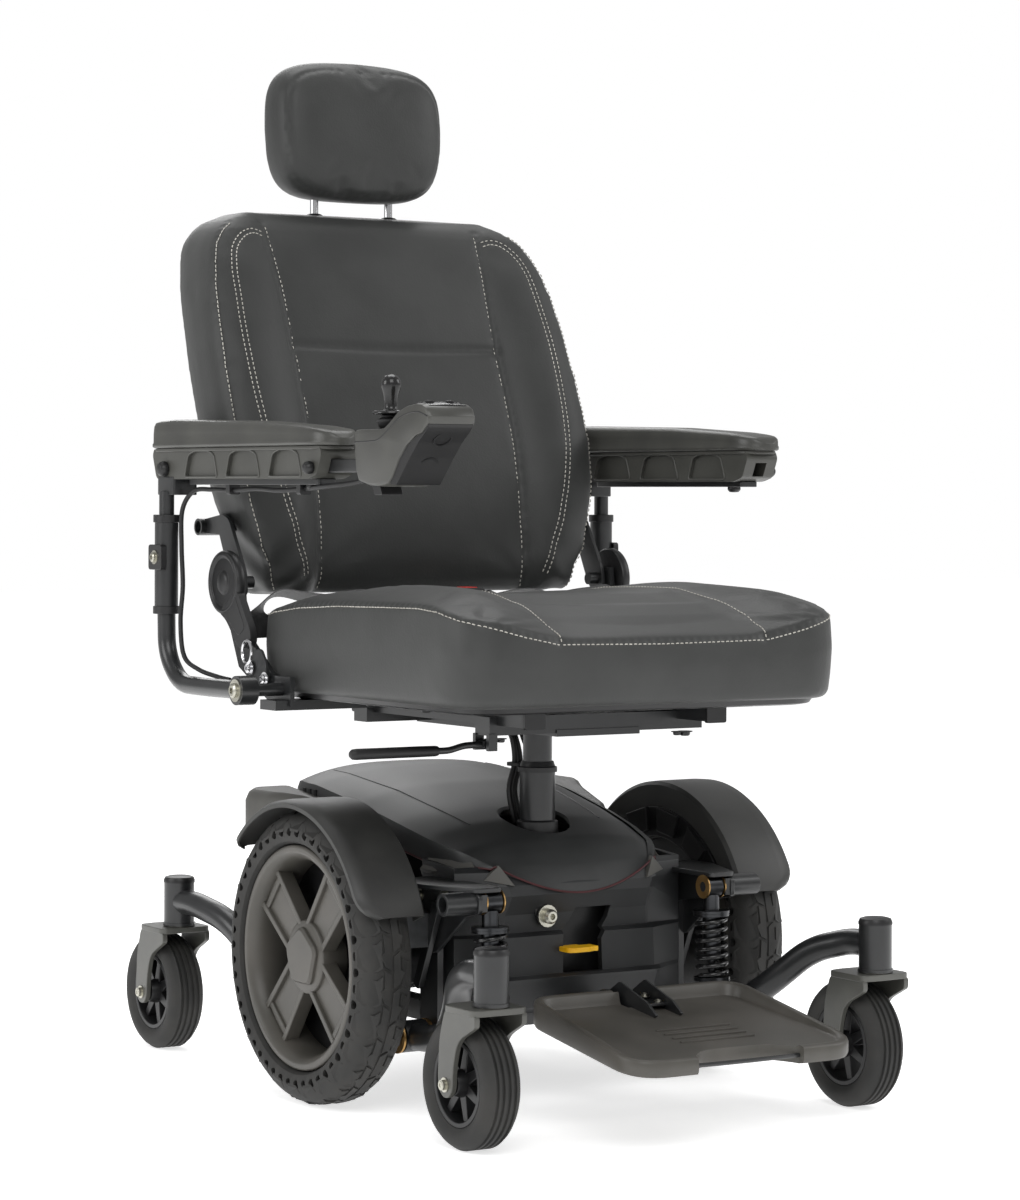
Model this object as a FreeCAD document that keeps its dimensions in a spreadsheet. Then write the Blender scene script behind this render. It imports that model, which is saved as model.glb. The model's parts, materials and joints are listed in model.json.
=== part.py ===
import FreeCAD, Part
import Sketcher
import math
import os
import re
from FreeCAD import Placement, Rotation, Vector

# Power wheelchair: mid-wheel-drive base on six wheels, with a captain's seat.
# The chair faces -Y, +X is the user's left, +Z is up.  Sketches and places are
# given from the drive axle (y = 0) and the floor (z = 0); every sub-part's
# Placement then takes off origin_back, so the origin is under the chair's middle.

doc = FreeCAD.newDocument("PowerWheelchair")
sheet = doc.addObject("Spreadsheet::Sheet", "Sizes")

sizes = {
    "origin_back": 20.5,
    # drive wheels
    "wheel_x": 272, "wheel_radius": 178, "wheel_width": 76, "rim_radius": 136, "rim_width": 58,
    "shaft_radius": 12, "running_gap": 0.06,
    # casters
    "front_x": 272, "front_y": -391.5, "rear_x": 239, "rear_y": 435, "trail": 42,
    "caster_radius": 76, "caster_width": 48, "barrel_radius": 20, "barrel_low": 167,
    "barrel_high": 224, "stem_radius": 8, "fork_leg_x": 31, "fork_thick": 7,
    # suspension
    "pivot_x": 204, "motor_pivot_y": -104, "motor_pivot_z": 222, "front_pivot_y": -105,
    "front_pivot_z": 90, "rear_pivot_y": 120, "rear_pivot_z": 100, "pin_radius": 8,
    "arm_radius": 16, "shock_x": 160, "shock_top_y": -210, "shock_top_z": 258,
    "shock_low_y": -214, "shock_low_z": 124, "eye_radius": 13, "shock_pin": 6,
    # fenders
    "fender_in": 228, "fender_out": 317, "fender_radius": 191, "fender_thick": 4,
    # base frame, shells and what they hold
    "rail_x": 143, "rail_wide": 30, "rail_low": 98, "rail_high": 122, "rail_front": -150,
    "rail_back": 300, "shell_x": 165, "shell_front": -160, "wall": 4,
    "battery_wide": 131, "battery_long": 196, "battery_tall": 160,
    # seat column and seat
    "post_y": -65, "post_radius": 18, "socket_radius": 22, "socket_top": 395, "seat_z": 448,
    "lever_y": -182, "lever_z": 440, "cushion_half": 270, "cushion_front": -342,
    "cushion_back": 158, "cushion_low": 490, "cushion_side": 592, "cushion_top": 618,
    # back
    "hinge_x": 285, "hinge_y": 206, "hinge_z": 625, "disc_radius": 40,
    "headrest_half": 128,
    "rest_post_x": 57.5, "rest_post_y": 402, "rest_post_radius": 5.5,
    # armrests
    "flip_x": 300, "flip_y": 80, "flip_z": 497, "arm_x": 333, "arm_y": 290,
    "arm_tube": 11.5, "sleeve_top": 709, "pad_x": 310, "pad_front": -126, "pad_back": 330,
    # controller
    "joystick_y": -231, "tilt_z": 815, "button_y": -278,
    # foot plate
    "plate_half": 155, "plate_front": -512, "plate_back": -278, "plate_hinge_y": -258,
    "plate_hinge_z": 132,
}
for row, (name, value) in enumerate(sizes.items(), 1):
    sheet.set(f"A{row}", name)
    sheet.set(f"B{row}", str(value))
    sheet.setAlias(f"B{row}", name)
doc.recompute()

sub_parts = []
depth = {}
sides = {"right": -1, "left": 1}
along = {
    "x": Rotation(Vector(0, 1, 0), 90),
    "y": Rotation(Vector(1, 0, 0), -90),
    "z": Rotation(),
}


def bound(text):
    """An expression in which each of the sheet's words is read from the sheet."""
    word = r"[a-z]+(?:_[a-z]+)*"
    return re.sub(word, lambda found: f"Sizes.{found[0]}" if found[0] in sizes else found[0], str(text))


def place(piece, start, rotation=None):
    """Puts a solid's own origin at a point given by three expressions."""
    piece.Placement = Placement(Vector(), rotation or Rotation())
    for axis, text in zip("xyz", start):
        piece.setExpression(f"Placement.Base.{axis}", bound(text))
    depth[piece.Name] = start[1]
    return piece


def cylinder(radius, length, start, axis="z", tilt=None):
    piece = doc.addObject("Part::Cylinder", "cylinder")
    piece.setExpression("Radius", bound(radius))
    piece.setExpression("Height", bound(length))
    return place(piece, start, tilt or along[axis])


def box(lengths, start, tilt=None):
    piece = doc.addObject("Part::Box", "box")
    for side, text in zip(("Length", "Width", "Height"), lengths):
        piece.setExpression(side, bound(text))
    return place(piece, start, tilt)


def fuse(*pieces):
    joined = doc.addObject("Part::MultiFuse", "joined")
    joined.Shapes = list(pieces)
    joined.Refine = True
    return joined


def cut(base, *tools):
    left = doc.addObject("Part::Cut", "left")
    left.Base = base
    left.Tool = tools[0] if len(tools) == 1 else fuse(*tools)
    left.Refine = True
    return left


def rounded(piece, radius, chosen=None):
    """Rounds the edges for which chosen(edge) is true, or all of them."""
    doc.recompute()
    soft = doc.addObject("Part::Fillet", "rounded")
    soft.Base = piece
    edges = enumerate(piece.Shape.Edges, 1)
    soft.Edges = [(number, radius, radius) for number, edge in edges if not chosen or chosen(edge)]
    return soft


def sketch(body, plane, outline):
    """A closed polygon whose corners are bound to the sheet."""
    flat = body.newObject("Sketcher::SketchObject", "outline")
    origin_plane = next(part for part in body.Origin.OriginFeatures if part.Role == plane)
    flat.AttachmentSupport = [(origin_plane, "")]
    flat.MapMode = "FlatFace"
    turn = 2 * math.pi / len(outline)
    angles = [turn * step for step in range(len(outline))]
    rough = [Vector(10 * math.cos(angle), 10 * math.sin(angle), 0) for angle in angles]
    for first, second in zip(rough, rough[1:] + rough[:1]):
        flat.addGeometry(Part.LineSegment(first, second), False)
    for line in range(len(outline)):
        flat.addConstraint(Sketcher.Constraint("Coincident", line, 2, (line + 1) % len(outline), 1))
    for line, (corner, texts) in enumerate(zip(rough, outline)):
        for kind, start, text in (("DistanceX", corner.x, texts[0]), ("DistanceY", corner.y, texts[1])):
            number = flat.addConstraint(Sketcher.Constraint(kind, -1, 1, line, 1, start or 1))
            flat.setExpression(f"Constraints[{number}]", bound(text))
    return flat


def padded(plane, outline, length, start=(0, 0, 0), rotation=None):
    """A polygon pushed out both ways from its plane by half the length."""
    body = doc.addObject("PartDesign::Body", "body")
    pad = body.newObject("PartDesign::Pad", "pad")
    pad.Profile = sketch(body, plane, outline)
    pad.setExpression("Length", bound(length))
    pad.Midplane = True
    return place(body, start, rotation)


def turned(outline, start, angle=360, rotation=None):
    """A profile of (across, radius) points turned about the X direction."""
    body = doc.addObject("PartDesign::Body", "body")
    flat = sketch(body, "XZ_Plane", outline)
    turn = body.newObject("PartDesign::Revolution", "turn")
    turn.Profile = flat
    turn.ReferenceAxis = (flat, ["H_Axis"])
    turn.Angle = angle
    return place(body, start, rotation)


def solid(shape):
    """A shape with no simpler form, such as a bent tube, kept as it is."""
    piece = doc.addObject("Part::Feature", "solid")
    piece.Shape = shape
    depth[piece.Name] = 0
    return piece


def route(points):
    """Straight runs joined by tangent arcs, each as large as its runs allow."""
    corners = [Vector(*point) for point in points]
    edges = []
    start = corners[0]
    radii = []
    for before, corner, after in zip(corners, corners[1:], corners[2:]):
        back = (before - corner).normalize()
        ahead = (after - corner).normalize()
        reach = 0.45 * min((before - corner).Length, (after - corner).Length)
        half = (math.pi - back.getAngle(ahead)) / 2
        radii.append(reach / math.tan(half))
        first = corner + back * reach
        last = corner + ahead * reach
        middle = corner + (back + ahead).normalize() * radii[-1] * (1 / math.cos(half) - 1)
        edges.append(Part.LineSegment(start, first).toShape())
        edges.append(Part.Arc(first, middle, last).toShape())
        start = last
    edges.append(Part.LineSegment(start, corners[-1]).toShape())
    return Part.Wire(edges), radii


def tube(points, radius):
    """A round bar along a route; its volume shows that the sweep is sound."""
    path, radii = route(points)
    ahead = (Vector(*points[1]) - Vector(*points[0])).normalize()
    ring = Part.Wire(Part.Circle(Vector(*points[0]), ahead, radius).toShape())
    bar = path.makePipeShell([ring], True, False)
    expected = math.pi * radius**2 * path.Length
    if abs(bar.Volume - expected) > 0.01 * expected:
        raise SystemExit(f"a bar's volume is {bar.Volume:.0f}, not {expected:.0f}")
    print(f"bar of radius {radius}: length {path.Length:.0f}, arc radii {[round(r) for r in radii]}")
    return bar


def rod(start, end, radius):
    """A straight round bar between two points."""
    start, end = Vector(*start), Vector(*end)
    return Part.makeCylinder(radius, (end - start).Length, start, end - start)


def finish(label, piece):
    """Names a sub-part and moves it from the axle's frame to the chair's."""
    piece.Label = label
    piece.setExpression("Placement.Base.y", f"{bound(depth.get(piece.Name, 0))} - Sizes.origin_back")
    sub_parts.append(piece)


def value(name):
    return float(sheet.get(name))


# Drive wheels: an airless tyre on a four-spoke rim, on the gear motor's shaft.
def drive_wheel(side, sign):
    centre = (f"{sign}*wheel_x", 0, "wheel_radius")
    edge = "wheel_width/2"
    tyre = turned([
        ("-rim_width/2", "rim_radius"), (f"-{edge}", "rim_radius+14"), (f"-{edge}", "wheel_radius-18"),
        (f"-{edge}+8", "wheel_radius-4"), (f"-{edge}+18", "wheel_radius"), (f"{edge}-18", "wheel_radius"),
        (f"{edge}-8", "wheel_radius-4"), (edge, "wheel_radius-18"), (edge, "rim_radius+14"),
        ("rim_width/2", "rim_radius"),
    ], centre)
    finish(f"drive_tyre_{side}", tyre)
    band = turned([
        ("-rim_width/2", "rim_radius-14"), ("-rim_width/2", "rim_radius-0.2"),
        ("rim_width/2", "rim_radius-0.2"), ("rim_width/2", "rim_radius-14"), ("10", "rim_radius-18"),
        ("-10", "rim_radius-18"),
    ], centre)
    hub = cylinder(46, 44, (f"{sign}*(wheel_x+8)-22", 0, "wheel_radius"), "x")
    spokes = []
    for slope in (45, 135):
        length = sizes["rim_radius"] * 2 - 24
        turn = Rotation(Vector(1, 0, 0), slope)
        corner = turn.multVec(Vector(0, -length / 2, -25))
        start = (f"{sign}*(wheel_x+14)-9", corner.y, f"wheel_radius+{corner.z}")
        spokes.append(box((18, length, 50), start, turn))
    bore = cylinder("shaft_radius+running_gap", 58, (f"{sign}*(wheel_x-3)-29", 0, "wheel_radius"), "x")
    finish(f"drive_rim_{side}", cut(fuse(band, hub, *spokes), bore))


# Gear motors: each turns on a pin of the frame and carries a wheel and its fender.
def gear_motor(side, sign):
    pivot = ("motor_pivot_y", "motor_pivot_z")
    case = padded("YZ_Plane", [
        (-128, 198), (-128, 238), (-92, 250), (-40, 236), (50, 226), (50, 136), (-40, 136), (-70, 190),
    ], 34, (f"{sign}*(pivot_x+6)", 0, 0))
    can = cylinder(42, 124, (f"{sign}*133-62", 0, "wheel_radius"), "x")
    shaft = cylinder("shaft_radius", 74, (f"{sign}*(pivot_x+56)-37", 0, "wheel_radius"), "x")
    bore = cylinder("pin_radius+running_gap", 60, (f"{sign}*pivot_x-30", *pivot), "x")
    finish(f"gear_motor_{side}", cut(fuse(case, can, shaft), bore))


def fender(side, sign):
    low, high = ("fender_in", "fender_out") if sign > 0 else ("-fender_out", "-fender_in")
    outer = "fender_radius"
    arch = turned([
        (low, outer), (high, outer), (high, f"{outer}-8"), (f"{high}-3", f"{outer}-8"),
        (f"{high}-3", f"{outer}-fender_thick"), (f"{low}+3", f"{outer}-fender_thick"),
        (f"{low}+3", f"{outer}-8"), (low, f"{outer}-8"),
    ], (0, 0, "wheel_radius"), 119, Rotation(Vector(1, 0, 0), -50))
    strut = box((4, 28, "wheel_radius+fender_radius-205"), (f"{sign}*(fender_in+1.1)-2", -22, 204))
    finish(f"fender_{side}", fuse(arch, strut))


# Caster arms: bent tubes from a pin on the frame out to an upright barrel.
def caster_arm(side, sign, end):
    x, y = value(f"{end}_x"), value(f"{end}_y")
    pivot = value("pivot_x")
    lug_y, lug_z = value(f"{end}_pivot_y"), value(f"{end}_pivot_z")
    reach = 1 if end == "front" else -1
    high = 199
    points = [(x, y + 12 * reach, high), (x - 2, y + 44 * reach, high)]
    if end == "front":
        points += [(252, -292, 184), (226, -240, 136), (207, -190, 101), (pivot, -142, 91)]
    else:
        points += [(226, 318, 184), (210, 262, 136), (205, 205, 105), (pivot, 160, 100)]
    points += [(pivot, lug_y, lug_z)]
    points = [(sign * px, py, pz) for px, py, pz in points]
    shape = tube(points, value("arm_radius"))
    barrel = Part.makeCylinder(value("barrel_radius"), value("barrel_high") - value("barrel_low"),
                               Vector(sign * x, y, value("barrel_low")))
    lug = rod((sign * pivot - 16, lug_y, lug_z), (sign * pivot + 16, lug_y, lug_z), 19)
    shape = shape.fuse([barrel, lug])
    if end == "front":
        shock = value("shock_x")
        low_y, low_z = value("shock_low_y"), value("shock_low_z")
        stud_pin = rod((sign * (shock - 10), low_y, low_z), (sign * 212, low_y, low_z), value("shock_pin"))
        shape = shape.fuse(stud_pin)
    gap = value("running_gap")
    hole_radius = value("pin_radius") + gap
    pin_hole = rod((sign * pivot - 30, lug_y, lug_z), (sign * pivot + 30, lug_y, lug_z), hole_radius)
    stem_hole = rod((sign * x, y, 100), (sign * x, y, value("barrel_high") - 6), value("stem_radius") + gap)
    finish(f"{end}_arm_{side}", solid(shape.cut([pin_hole, stem_hole])))


# Casters: a swivelling fork, a hub on the axle bolt and a solid tyre.
def caster(side, sign, end):
    x = f"{sign}*{end}_x"
    y = f"{end}_y"
    axle = f"{y}+trail"
    top = "barrel_low-1"
    crown_start = (f"{x}-fork_leg_x-fork_thick/2", f"{y}-22", f"{top}-fork_thick")
    crown = box(("fork_leg_x*2+fork_thick", 62, "fork_thick"), crown_start)
    stem = cylinder("stem_radius", "barrel_high-barrel_low-8", (x, y, f"{top}-1"))
    legs = [
        padded("YZ_Plane", [
            ("-trail-20", f"{top}"), ("-2", f"{top}"), ("15", "caster_radius+30"), ("15", "caster_radius-9"),
            ("6", "caster_radius-16"), ("-8", "caster_radius-15"), ("-16", "caster_radius"),
            ("-24", "caster_radius+46"), ("-trail-20", f"{top}-14"),
        ], "fork_thick", (f"{x}+{way}*fork_leg_x", axle, 0))
        for way in (-1, 1)
    ]
    bolt = cylinder(6, "fork_leg_x*2+16", (f"{x}-fork_leg_x-8", axle, "caster_radius"), "x")
    finish(f"{end}_fork_{side}", fuse(crown, stem, *legs, bolt))
    centre = (x, axle, "caster_radius")
    half = "caster_width/2"
    finish(f"{end}_caster_tyre_{side}", turned([
        (f"-{half}+4", 50), (f"-{half}", 56), (f"-{half}", "caster_radius-14"),
        (f"-{half}+8", "caster_radius-3"), (f"-{half}+16", "caster_radius"), (f"{half}-16", "caster_radius"),
        (f"{half}-8", "caster_radius-3"), (half, "caster_radius-14"), (half, 56), (f"{half}-4", 50),
    ], centre))
    finish(f"{end}_caster_hub_{side}", turned([
        (-25, "6+running_gap"), (-25, 14), (-12, 18), (-8, 38), (-18, 42), (-18, 49.8), (18, 49.8),
        (18, 42), (8, 38), (12, 18), (25, 14), (25, "6+running_gap"),
    ], centre))


# Shocks: the damper's body and rod slide in each other, inside a coil spring.
def shock(side, sign):
    x = sign * value("shock_x")
    top = Vector(x, value("shock_top_y"), value("shock_top_z"))
    low = Vector(x, value("shock_low_y"), value("shock_low_z"))
    down = (low - top).normalize()
    across = Vector(1, 0, 0)
    eye = value("eye_radius")

    def stretch(first, last, radius):
        return Part.makeCylinder(radius, last - first, top + down * first, down)

    eye_top = Part.makeCylinder(eye, 20, top - across * 10, across)
    body = eye_top.fuse([stretch(10, 34, 10), stretch(30, 36, 22), stretch(34, 82, 11)])
    eye_hole = Part.makeCylinder(value("shock_pin") + 0.06, 30, top - across * 15, across)
    body = body.cut([stretch(40, 90, 5.08), eye_hole])
    finish(f"shock_body_{side}", solid(body))
    eye_low = Part.makeCylinder(eye, 20, low - across * 10, across)
    rod_part = eye_low.fuse([stretch(50, 128, 5), stretch(110, 115, 22), stretch(114, 126, 9)])
    rod_part = rod_part.cut(Part.makeCylinder(value("shock_pin") + 1.5, 30, low - across * 15, across))
    finish(f"shock_rod_{side}", solid(rod_part))
    coil = stretch(37, 109, 21).cut(stretch(30, 115, 13))
    finish(f"shock_spring_{side}", solid(coil))


for side, sign in sides.items():
    drive_wheel(side, sign)
    gear_motor(side, sign)
    fender(side, sign)
    shock(side, sign)
    for end in ("front", "rear"):
        caster_arm(side, sign, end)
        caster(side, sign, end)


# Base frame: two rails, cross members, a battery tray and the pivot uprights.
def base_frame():
    pieces = []
    length = "rail_back-rail_front"
    tall = "rail_high-rail_low"
    for sign in (-1, 1):
        rail_start = (f"{sign}*rail_x-rail_wide/2", "rail_front", "rail_low")
        pieces.append(box(("rail_wide", length, tall), rail_start))
        pieces.append(padded("YZ_Plane", [
            ("front_pivot_y-20", "front_pivot_z-16"), ("front_pivot_y+20", "front_pivot_z-16"),
            ("front_pivot_y+20", "shock_top_z+10"), ("shock_top_y-14", "shock_top_z+10"),
            ("shock_top_y-14", "shock_top_z-10"), ("front_pivot_y-20", "shock_top_z-26"),
        ], 8, (f"{sign}*176", 0, 0)))
        pieces.append(box((24, 40, tall), (f"{sign}*168-12", "front_pivot_y-20", "rail_low")))
        pieces.append(box((24, 40, tall), (f"{sign}*168-12", "rear_pivot_y-20", "rail_low")))
        pieces.append(box((8, 40, 40), (f"{sign}*176-4", "rear_pivot_y-20", "rear_pivot_z-18")))
        for pivot in ("motor_pivot", "front_pivot", "rear_pivot"):
            pieces.append(cylinder("pin_radius", 56, (f"{sign}*200-28", f"{pivot}_y", f"{pivot}_z"), "x"))
        pieces.append(cylinder("shock_pin", 34, (f"{sign}*165-17", "shock_top_y", "shock_top_z"), "x"))
    for start, wide in (("rail_front", 30), ("-80", 30), ("rail_back-34", 34)):
        pieces.append(box(("rail_x*2", wide, tall), ("-rail_x", start, "rail_low")))
    pieces.append(box(("rail_x*2+rail_wide", 220, 4), ("-rail_x-rail_wide/2", 48, "rail_high")))
    socket = cylinder("socket_radius", "socket_top-rail_low", (0, "post_y", "rail_low"))
    bore = cylinder("post_radius+running_gap", "socket_top", (0, "post_y", "rail_high"))
    finish("main_frame", cut(fuse(socket, *pieces), bore))


def shells():
    # front shell: a faceted nose and its two cheeks, open behind
    nose = padded("YZ_Plane", [
        ("shell_front", 112), ("shell_front", 268), ("shell_front+14", 284), (-60, 290), (-60, 270),
        ("shell_front+16", 266), ("shell_front+6", 258), ("shell_front+6", 112),
    ], "shell_x*2")
    cheeks = [
        padded("YZ_Plane", [
            ("shell_front+4", 124), ("shell_front+4", 262), (-60, 284), (-60, 232), (-134, 232), (-134, 124),
        ], "wall", (f"{sign}*(shell_x-2)", 0, 0))
        for sign in (-1, 1)
    ]
    recess = box((70, 30, 42), (-28, "shell_front-5", 195))
    tab_slot = box((48, 30, 12), (-32, "shell_front-5", 182))
    beam_notch = box((64, 30, 16), (-32, "shell_front-10", 110))
    post_room = cylinder("socket_radius+3", 60, (0, "post_y", 250))
    tub = box(("shell_x*2", 224, 180), ("-shell_x", 50, 128))
    inside = box(("shell_x*2-10", 230, 200), ("-shell_x+5", 39, 126))
    bridges = [
        box(("wall", 130, 44), (f"{sign}*(shell_x-2)-2", -76, 238)) for sign in (-1, 1)
    ]
    nose = cut(nose, recess, tab_slot, beam_notch, post_room)
    finish("base_shell", fuse(nose, cut(tub, inside), *cheeks, *bridges))
    # top shroud: a deck that rises from the nose to the tail, with closed sides
    outer = [
        (-150, 292), (-112, 318), (-20, 348), (90, 372), (200, 386), (262, 388), (274, 372), (274, 330),
        (190, 322), (60, 312), (-80, 292),
    ]
    hull = padded("YZ_Plane", outer, "shell_x*2-4")
    inner = [
        (-128, 292), (-106, 308), (-18, 341), (90, 365), (200, 379), (258, 381), (268, 368), (268, 300),
        (60, 290), (-80, 285),
    ]
    hollow = padded("YZ_Plane", inner, "shell_x*2-14")
    opening = cylinder("socket_radius+16", 120, (0, "post_y", 260))
    finish("top_shroud", cut(hull, hollow, opening))
    tail = fuse(*[
        padded("YZ_Plane", [(196, 326), (280, 326), (280, 352), (272, 364), (196, 356)], 40,
               (f"{sign}*190", 0, 0)) for sign in (-1, 1)
    ], box((420, 6, 70), (-210, 280, 268)))
    finish("tail_cover", tail)


def inner_units():
    finish("batteries", fuse(*[
        box(("battery_wide", "battery_long", "battery_tall"), (start, 56, "rail_high+4.5"))
        for start in ("-battery_wide-3", 3)
    ]))
    finish("control_module", box((150, 110, 34), (-75, 100, "rail_high+battery_tall+8")))


def seat_post():
    post = cylinder("post_radius", "seat_z-160", (0, "post_y", 160))
    finish("seat_post", cut(post, cylinder("post_radius-4", "seat_z", (0, "post_y", 150))))


def foot_rest():
    hinge = ("plate_hinge_y", "plate_hinge_z")
    beam = box((60, 92, 16), (-30, -252, 104))
    ears = [box((7, 34, 34), (start, "plate_hinge_y-12", 110)) for start in (-30, 23)]
    pin = cylinder(5, 64, (-32, *hinge), "x")
    finish("footrest_bracket", fuse(beam, *ears, pin, box((60, 14, 22), (-30, -166, 101))))
    tab = box((46, 22, 8), (-31, "shell_front-20", 184))
    finish("release_tab", fuse(tab, box((26, 24, 5), (-21, "shell_front-8", 185.5))))
    tread = padded("YZ_Plane", [
        ("plate_front", 98), ("plate_front", 106), ("plate_back", 140), ("plate_back", 132),
    ], "plate_half*2")
    rims = [
        padded("YZ_Plane", [
            ("plate_front+6", 104), ("plate_front+6", 112), ("plate_back", 152), ("plate_back", 138),
        ], 6, (f"{sign}*(plate_half-3)", 0, 0)) for sign in (-1, 1)
    ]
    back_rim = box(("plate_half*2", 6, 20), ("-plate_half", "plate_back-6", 132))
    knuckle = cylinder(11, 44, (-22, *hinge), "x")
    lug = box((44, 34, 12), (-22, "plate_back-20", 126))
    slot = box((150, 26, 40), (-75, "plate_front+14", 90))
    bore = cylinder(5.06, 70, (-35, *hinge), "x")
    finish("footplate", cut(fuse(tread, *rims, back_rim, knuckle, lug), slot, bore))


base_frame()
shells()
inner_units()
seat_post()
foot_rest()


# Seat: a steel channel on the post, side rails, the lever and the cushion.
def seat():
    pieces = [
        box((308, 32, 22), (-154, "lever_y-16", "seat_z+4")),
        box((120, 325, 8), (-60, "lever_y-18", "seat_z")),
        box((308, 32, 22), (-154, 90, "seat_z+4")),
    ]
    for sign in (-1, 1):
        pieces.append(box((26, 400, 20), (f"{sign}*130-13", -260, "seat_z+16")))
        pieces.append(box((300, 40, 12), (f"{sign}*150-150", 60, "seat_z+24")))
        plate = padded("YZ_Plane", [
            ("flip_y-24", "flip_z-20"), ("flip_y+24", "flip_z-20"), (190, 520), ("hinge_y+14", 580),
            ("hinge_y+22", 640), ("hinge_y-22", 640), (176, 566), ("flip_y+20", "flip_z+16"),
            ("flip_y-24", "flip_z+16"),
        ], 6, (f"{sign}*(hinge_x-6)", 0, 0))
        pieces.append(plate)
        pieces.append(cylinder(8, 58, (f"{sign}*(flip_x+5)-29", "flip_y", "flip_z"), "x"))
        pieces.append(cylinder(8, 30, (f"{sign}*(hinge_x-15)-15", "hinge_y", "hinge_z"), "x"))
    for ear in (-18, 12):
        pieces.append(box((12, 6, 20), (-156, f"lever_y+{ear}", "lever_z-6")))
    pieces.append(cylinder(3, 30, (-150, "lever_y-15", "lever_z+1"), "y"))
    finish("seat_frame", fuse(*pieces))
    rail = value("lever_z")
    y = value("lever_y")
    bar = tube([(-150, y, rail + 1), (-180, y, rail), (-200, y, rail - 4), (-236, y, rail - 4.5)], 4)
    grip = rod((-215, y, rail - 4.3), (-334, y, rail - 4.3), 6.5)
    hub = rod((-150, y - 8, rail + 1), (-150, y + 8, rail + 1), 6)
    pin_hole = rod((-150, y - 20, rail + 1), (-150, y + 20, rail + 1), 3.06)
    finish("swivel_lever", solid(bar.fuse([grip, hub]).cut(pin_hole)))
    low, top, seam = "cushion_low", "cushion_top", "cushion_side"
    cushion = padded("YZ_Plane", [
        ("cushion_front+14", low), ("cushion_front", f"{low}+26"), ("cushion_front", f"{seam}-14"),
        ("cushion_front+34", f"{top}-2"), (-120, f"{top}+4"), (60, f"{top}-10"),
        ("cushion_back", f"{top}-30"),
        ("cushion_back", low),
    ], "cushion_half*2")
    upright = rounded(cushion, 58, lambda edge: abs(edge.BoundBox.XLength) < 1 and edge.CenterOfMass.y < -330
                      and edge.BoundBox.ZLength > 40)
    finish("seat_cushion", upright)


# Back: a bent steel frame inside one upholstered cushion, on the recliner hinges.
def back():
    edge = [
        (608, 206, 228), (640, 211, 240), (700, 214, 254), (800, 232, 270), (900, 270, 271),
        (1000, 312, 262), (1085, 350, 228),
    ]
    thick = 100
    front = [(y, z) for z, y, _ in edge]
    rear = [(y + thick - 12 * (z > 1050), z) for z, y, _ in reversed(edge)]
    side_view = padded("YZ_Plane", front + [(385, 1109), (430, 1106)] + rear[0:], "700")
    face_view = [(half, z) for z, _, half in edge] + [(200, 1112)]
    face = padded("XZ_Plane", face_view + [(-half, z) for half, z in reversed(face_view)], 1400)
    common = doc.addObject("Part::Common", "common")
    common.Base, common.Tool = side_view, face
    holes = [
        cylinder("rest_post_radius+0.3", 160, (f"{sign}*rest_post_x", "rest_post_y", 990)) for sign in (-1, 1)
    ]
    finish("back_cushion", cut(common, *holes))
    pieces = []
    for sign in (-1, 1):
        pieces.append(padded("YZ_Plane", [
            ("hinge_y-17", "hinge_z-17"), ("hinge_y+17", "hinge_z-17"), (330, 700), (306, 706),
            ("hinge_y-17", "hinge_z+17"),
        ], 5, (f"{sign}*(hinge_x-15)", 0, 0)))
    bore = cylinder("8+running_gap", "hinge_x*2+20", ("-hinge_x-10", "hinge_y", "hinge_z"), "x")
    finish("back_frame", cut(fuse(*pieces, rear_panel()), bore))


def rear_panel():
    """The stiff panel behind the cushion, with the tabs that reach the hinges."""
    board = padded("YZ_Plane", [
        (317, 660), (332, 800), (370, 900), (412, 1000), (420, 1000), (378, 899), (340, 798), (325, 660),
    ], 380)
    bar = box(("hinge_x*2-26", 12, 24), ("-hinge_x+13", 316.5, 682))
    return fuse(board, bar)


back()
seat()


# Round covers over the recliner hinges, each with a short arm down to the seat.
def recliner_covers():
    covers = []
    for sign in (-1, 1):
        start = f"{sign}*(hinge_x+7)-6"
        disc = cylinder("disc_radius", 12, (start, "hinge_y", "hinge_z"), "x")
        arm = padded("YZ_Plane", [
            ("hinge_y-34", "hinge_z-18"), ("hinge_y-70", "hinge_z-66"), ("hinge_y-44", "hinge_z-80"),
            ("hinge_y-4", "hinge_z-40"),
        ], 12, (f"{sign}*(hinge_x+7)", 0, 0))
        covers.append(fuse(disc, arm))
    finish("recliner_covers", fuse(*covers))


def headrest():
    posts = []
    for sign in (-1, 1):
        posts.append(cylinder("rest_post_radius", 200, (f"{sign}*rest_post_x", "rest_post_y", 1010)))
    finish("headrest_posts", fuse(*posts))
    pad = padded("YZ_Plane", [
        (360, 1134), (349, 1160), (349, 1220), (361, 1290), (381, 1315), (413, 1316), (433, 1296),
        (437, 1220), (433, 1150), (421, 1129), (375, 1129),
    ], "headrest_half*2")
    corner = rounded(pad, 38, lambda edge: edge.BoundBox.XLength < 1 and edge.BoundBox.YLength > 20 and
                     (edge.CenterOfMass.z > 1314 or edge.CenterOfMass.z < 1130))
    holes = [
        cylinder("rest_post_radius+0.3", 90, (f"{sign}*rest_post_x", "rest_post_y", 1124)) for sign in (-1, 1)
    ]
    finish("headrest_pad", cut(corner, *holes))


# Lap belt: two straps over the back of the cushion, meeting in a buckle.
def seat_belt():
    top = "cushion_top-18"
    strap = box((480, 44, 2), (-240, 130, f"{top}+2"))
    buckle = box((76, 46, 12), (-30, 129, f"{top}-2"))
    finish("seat_belt", fuse(strap, buckle))


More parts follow.
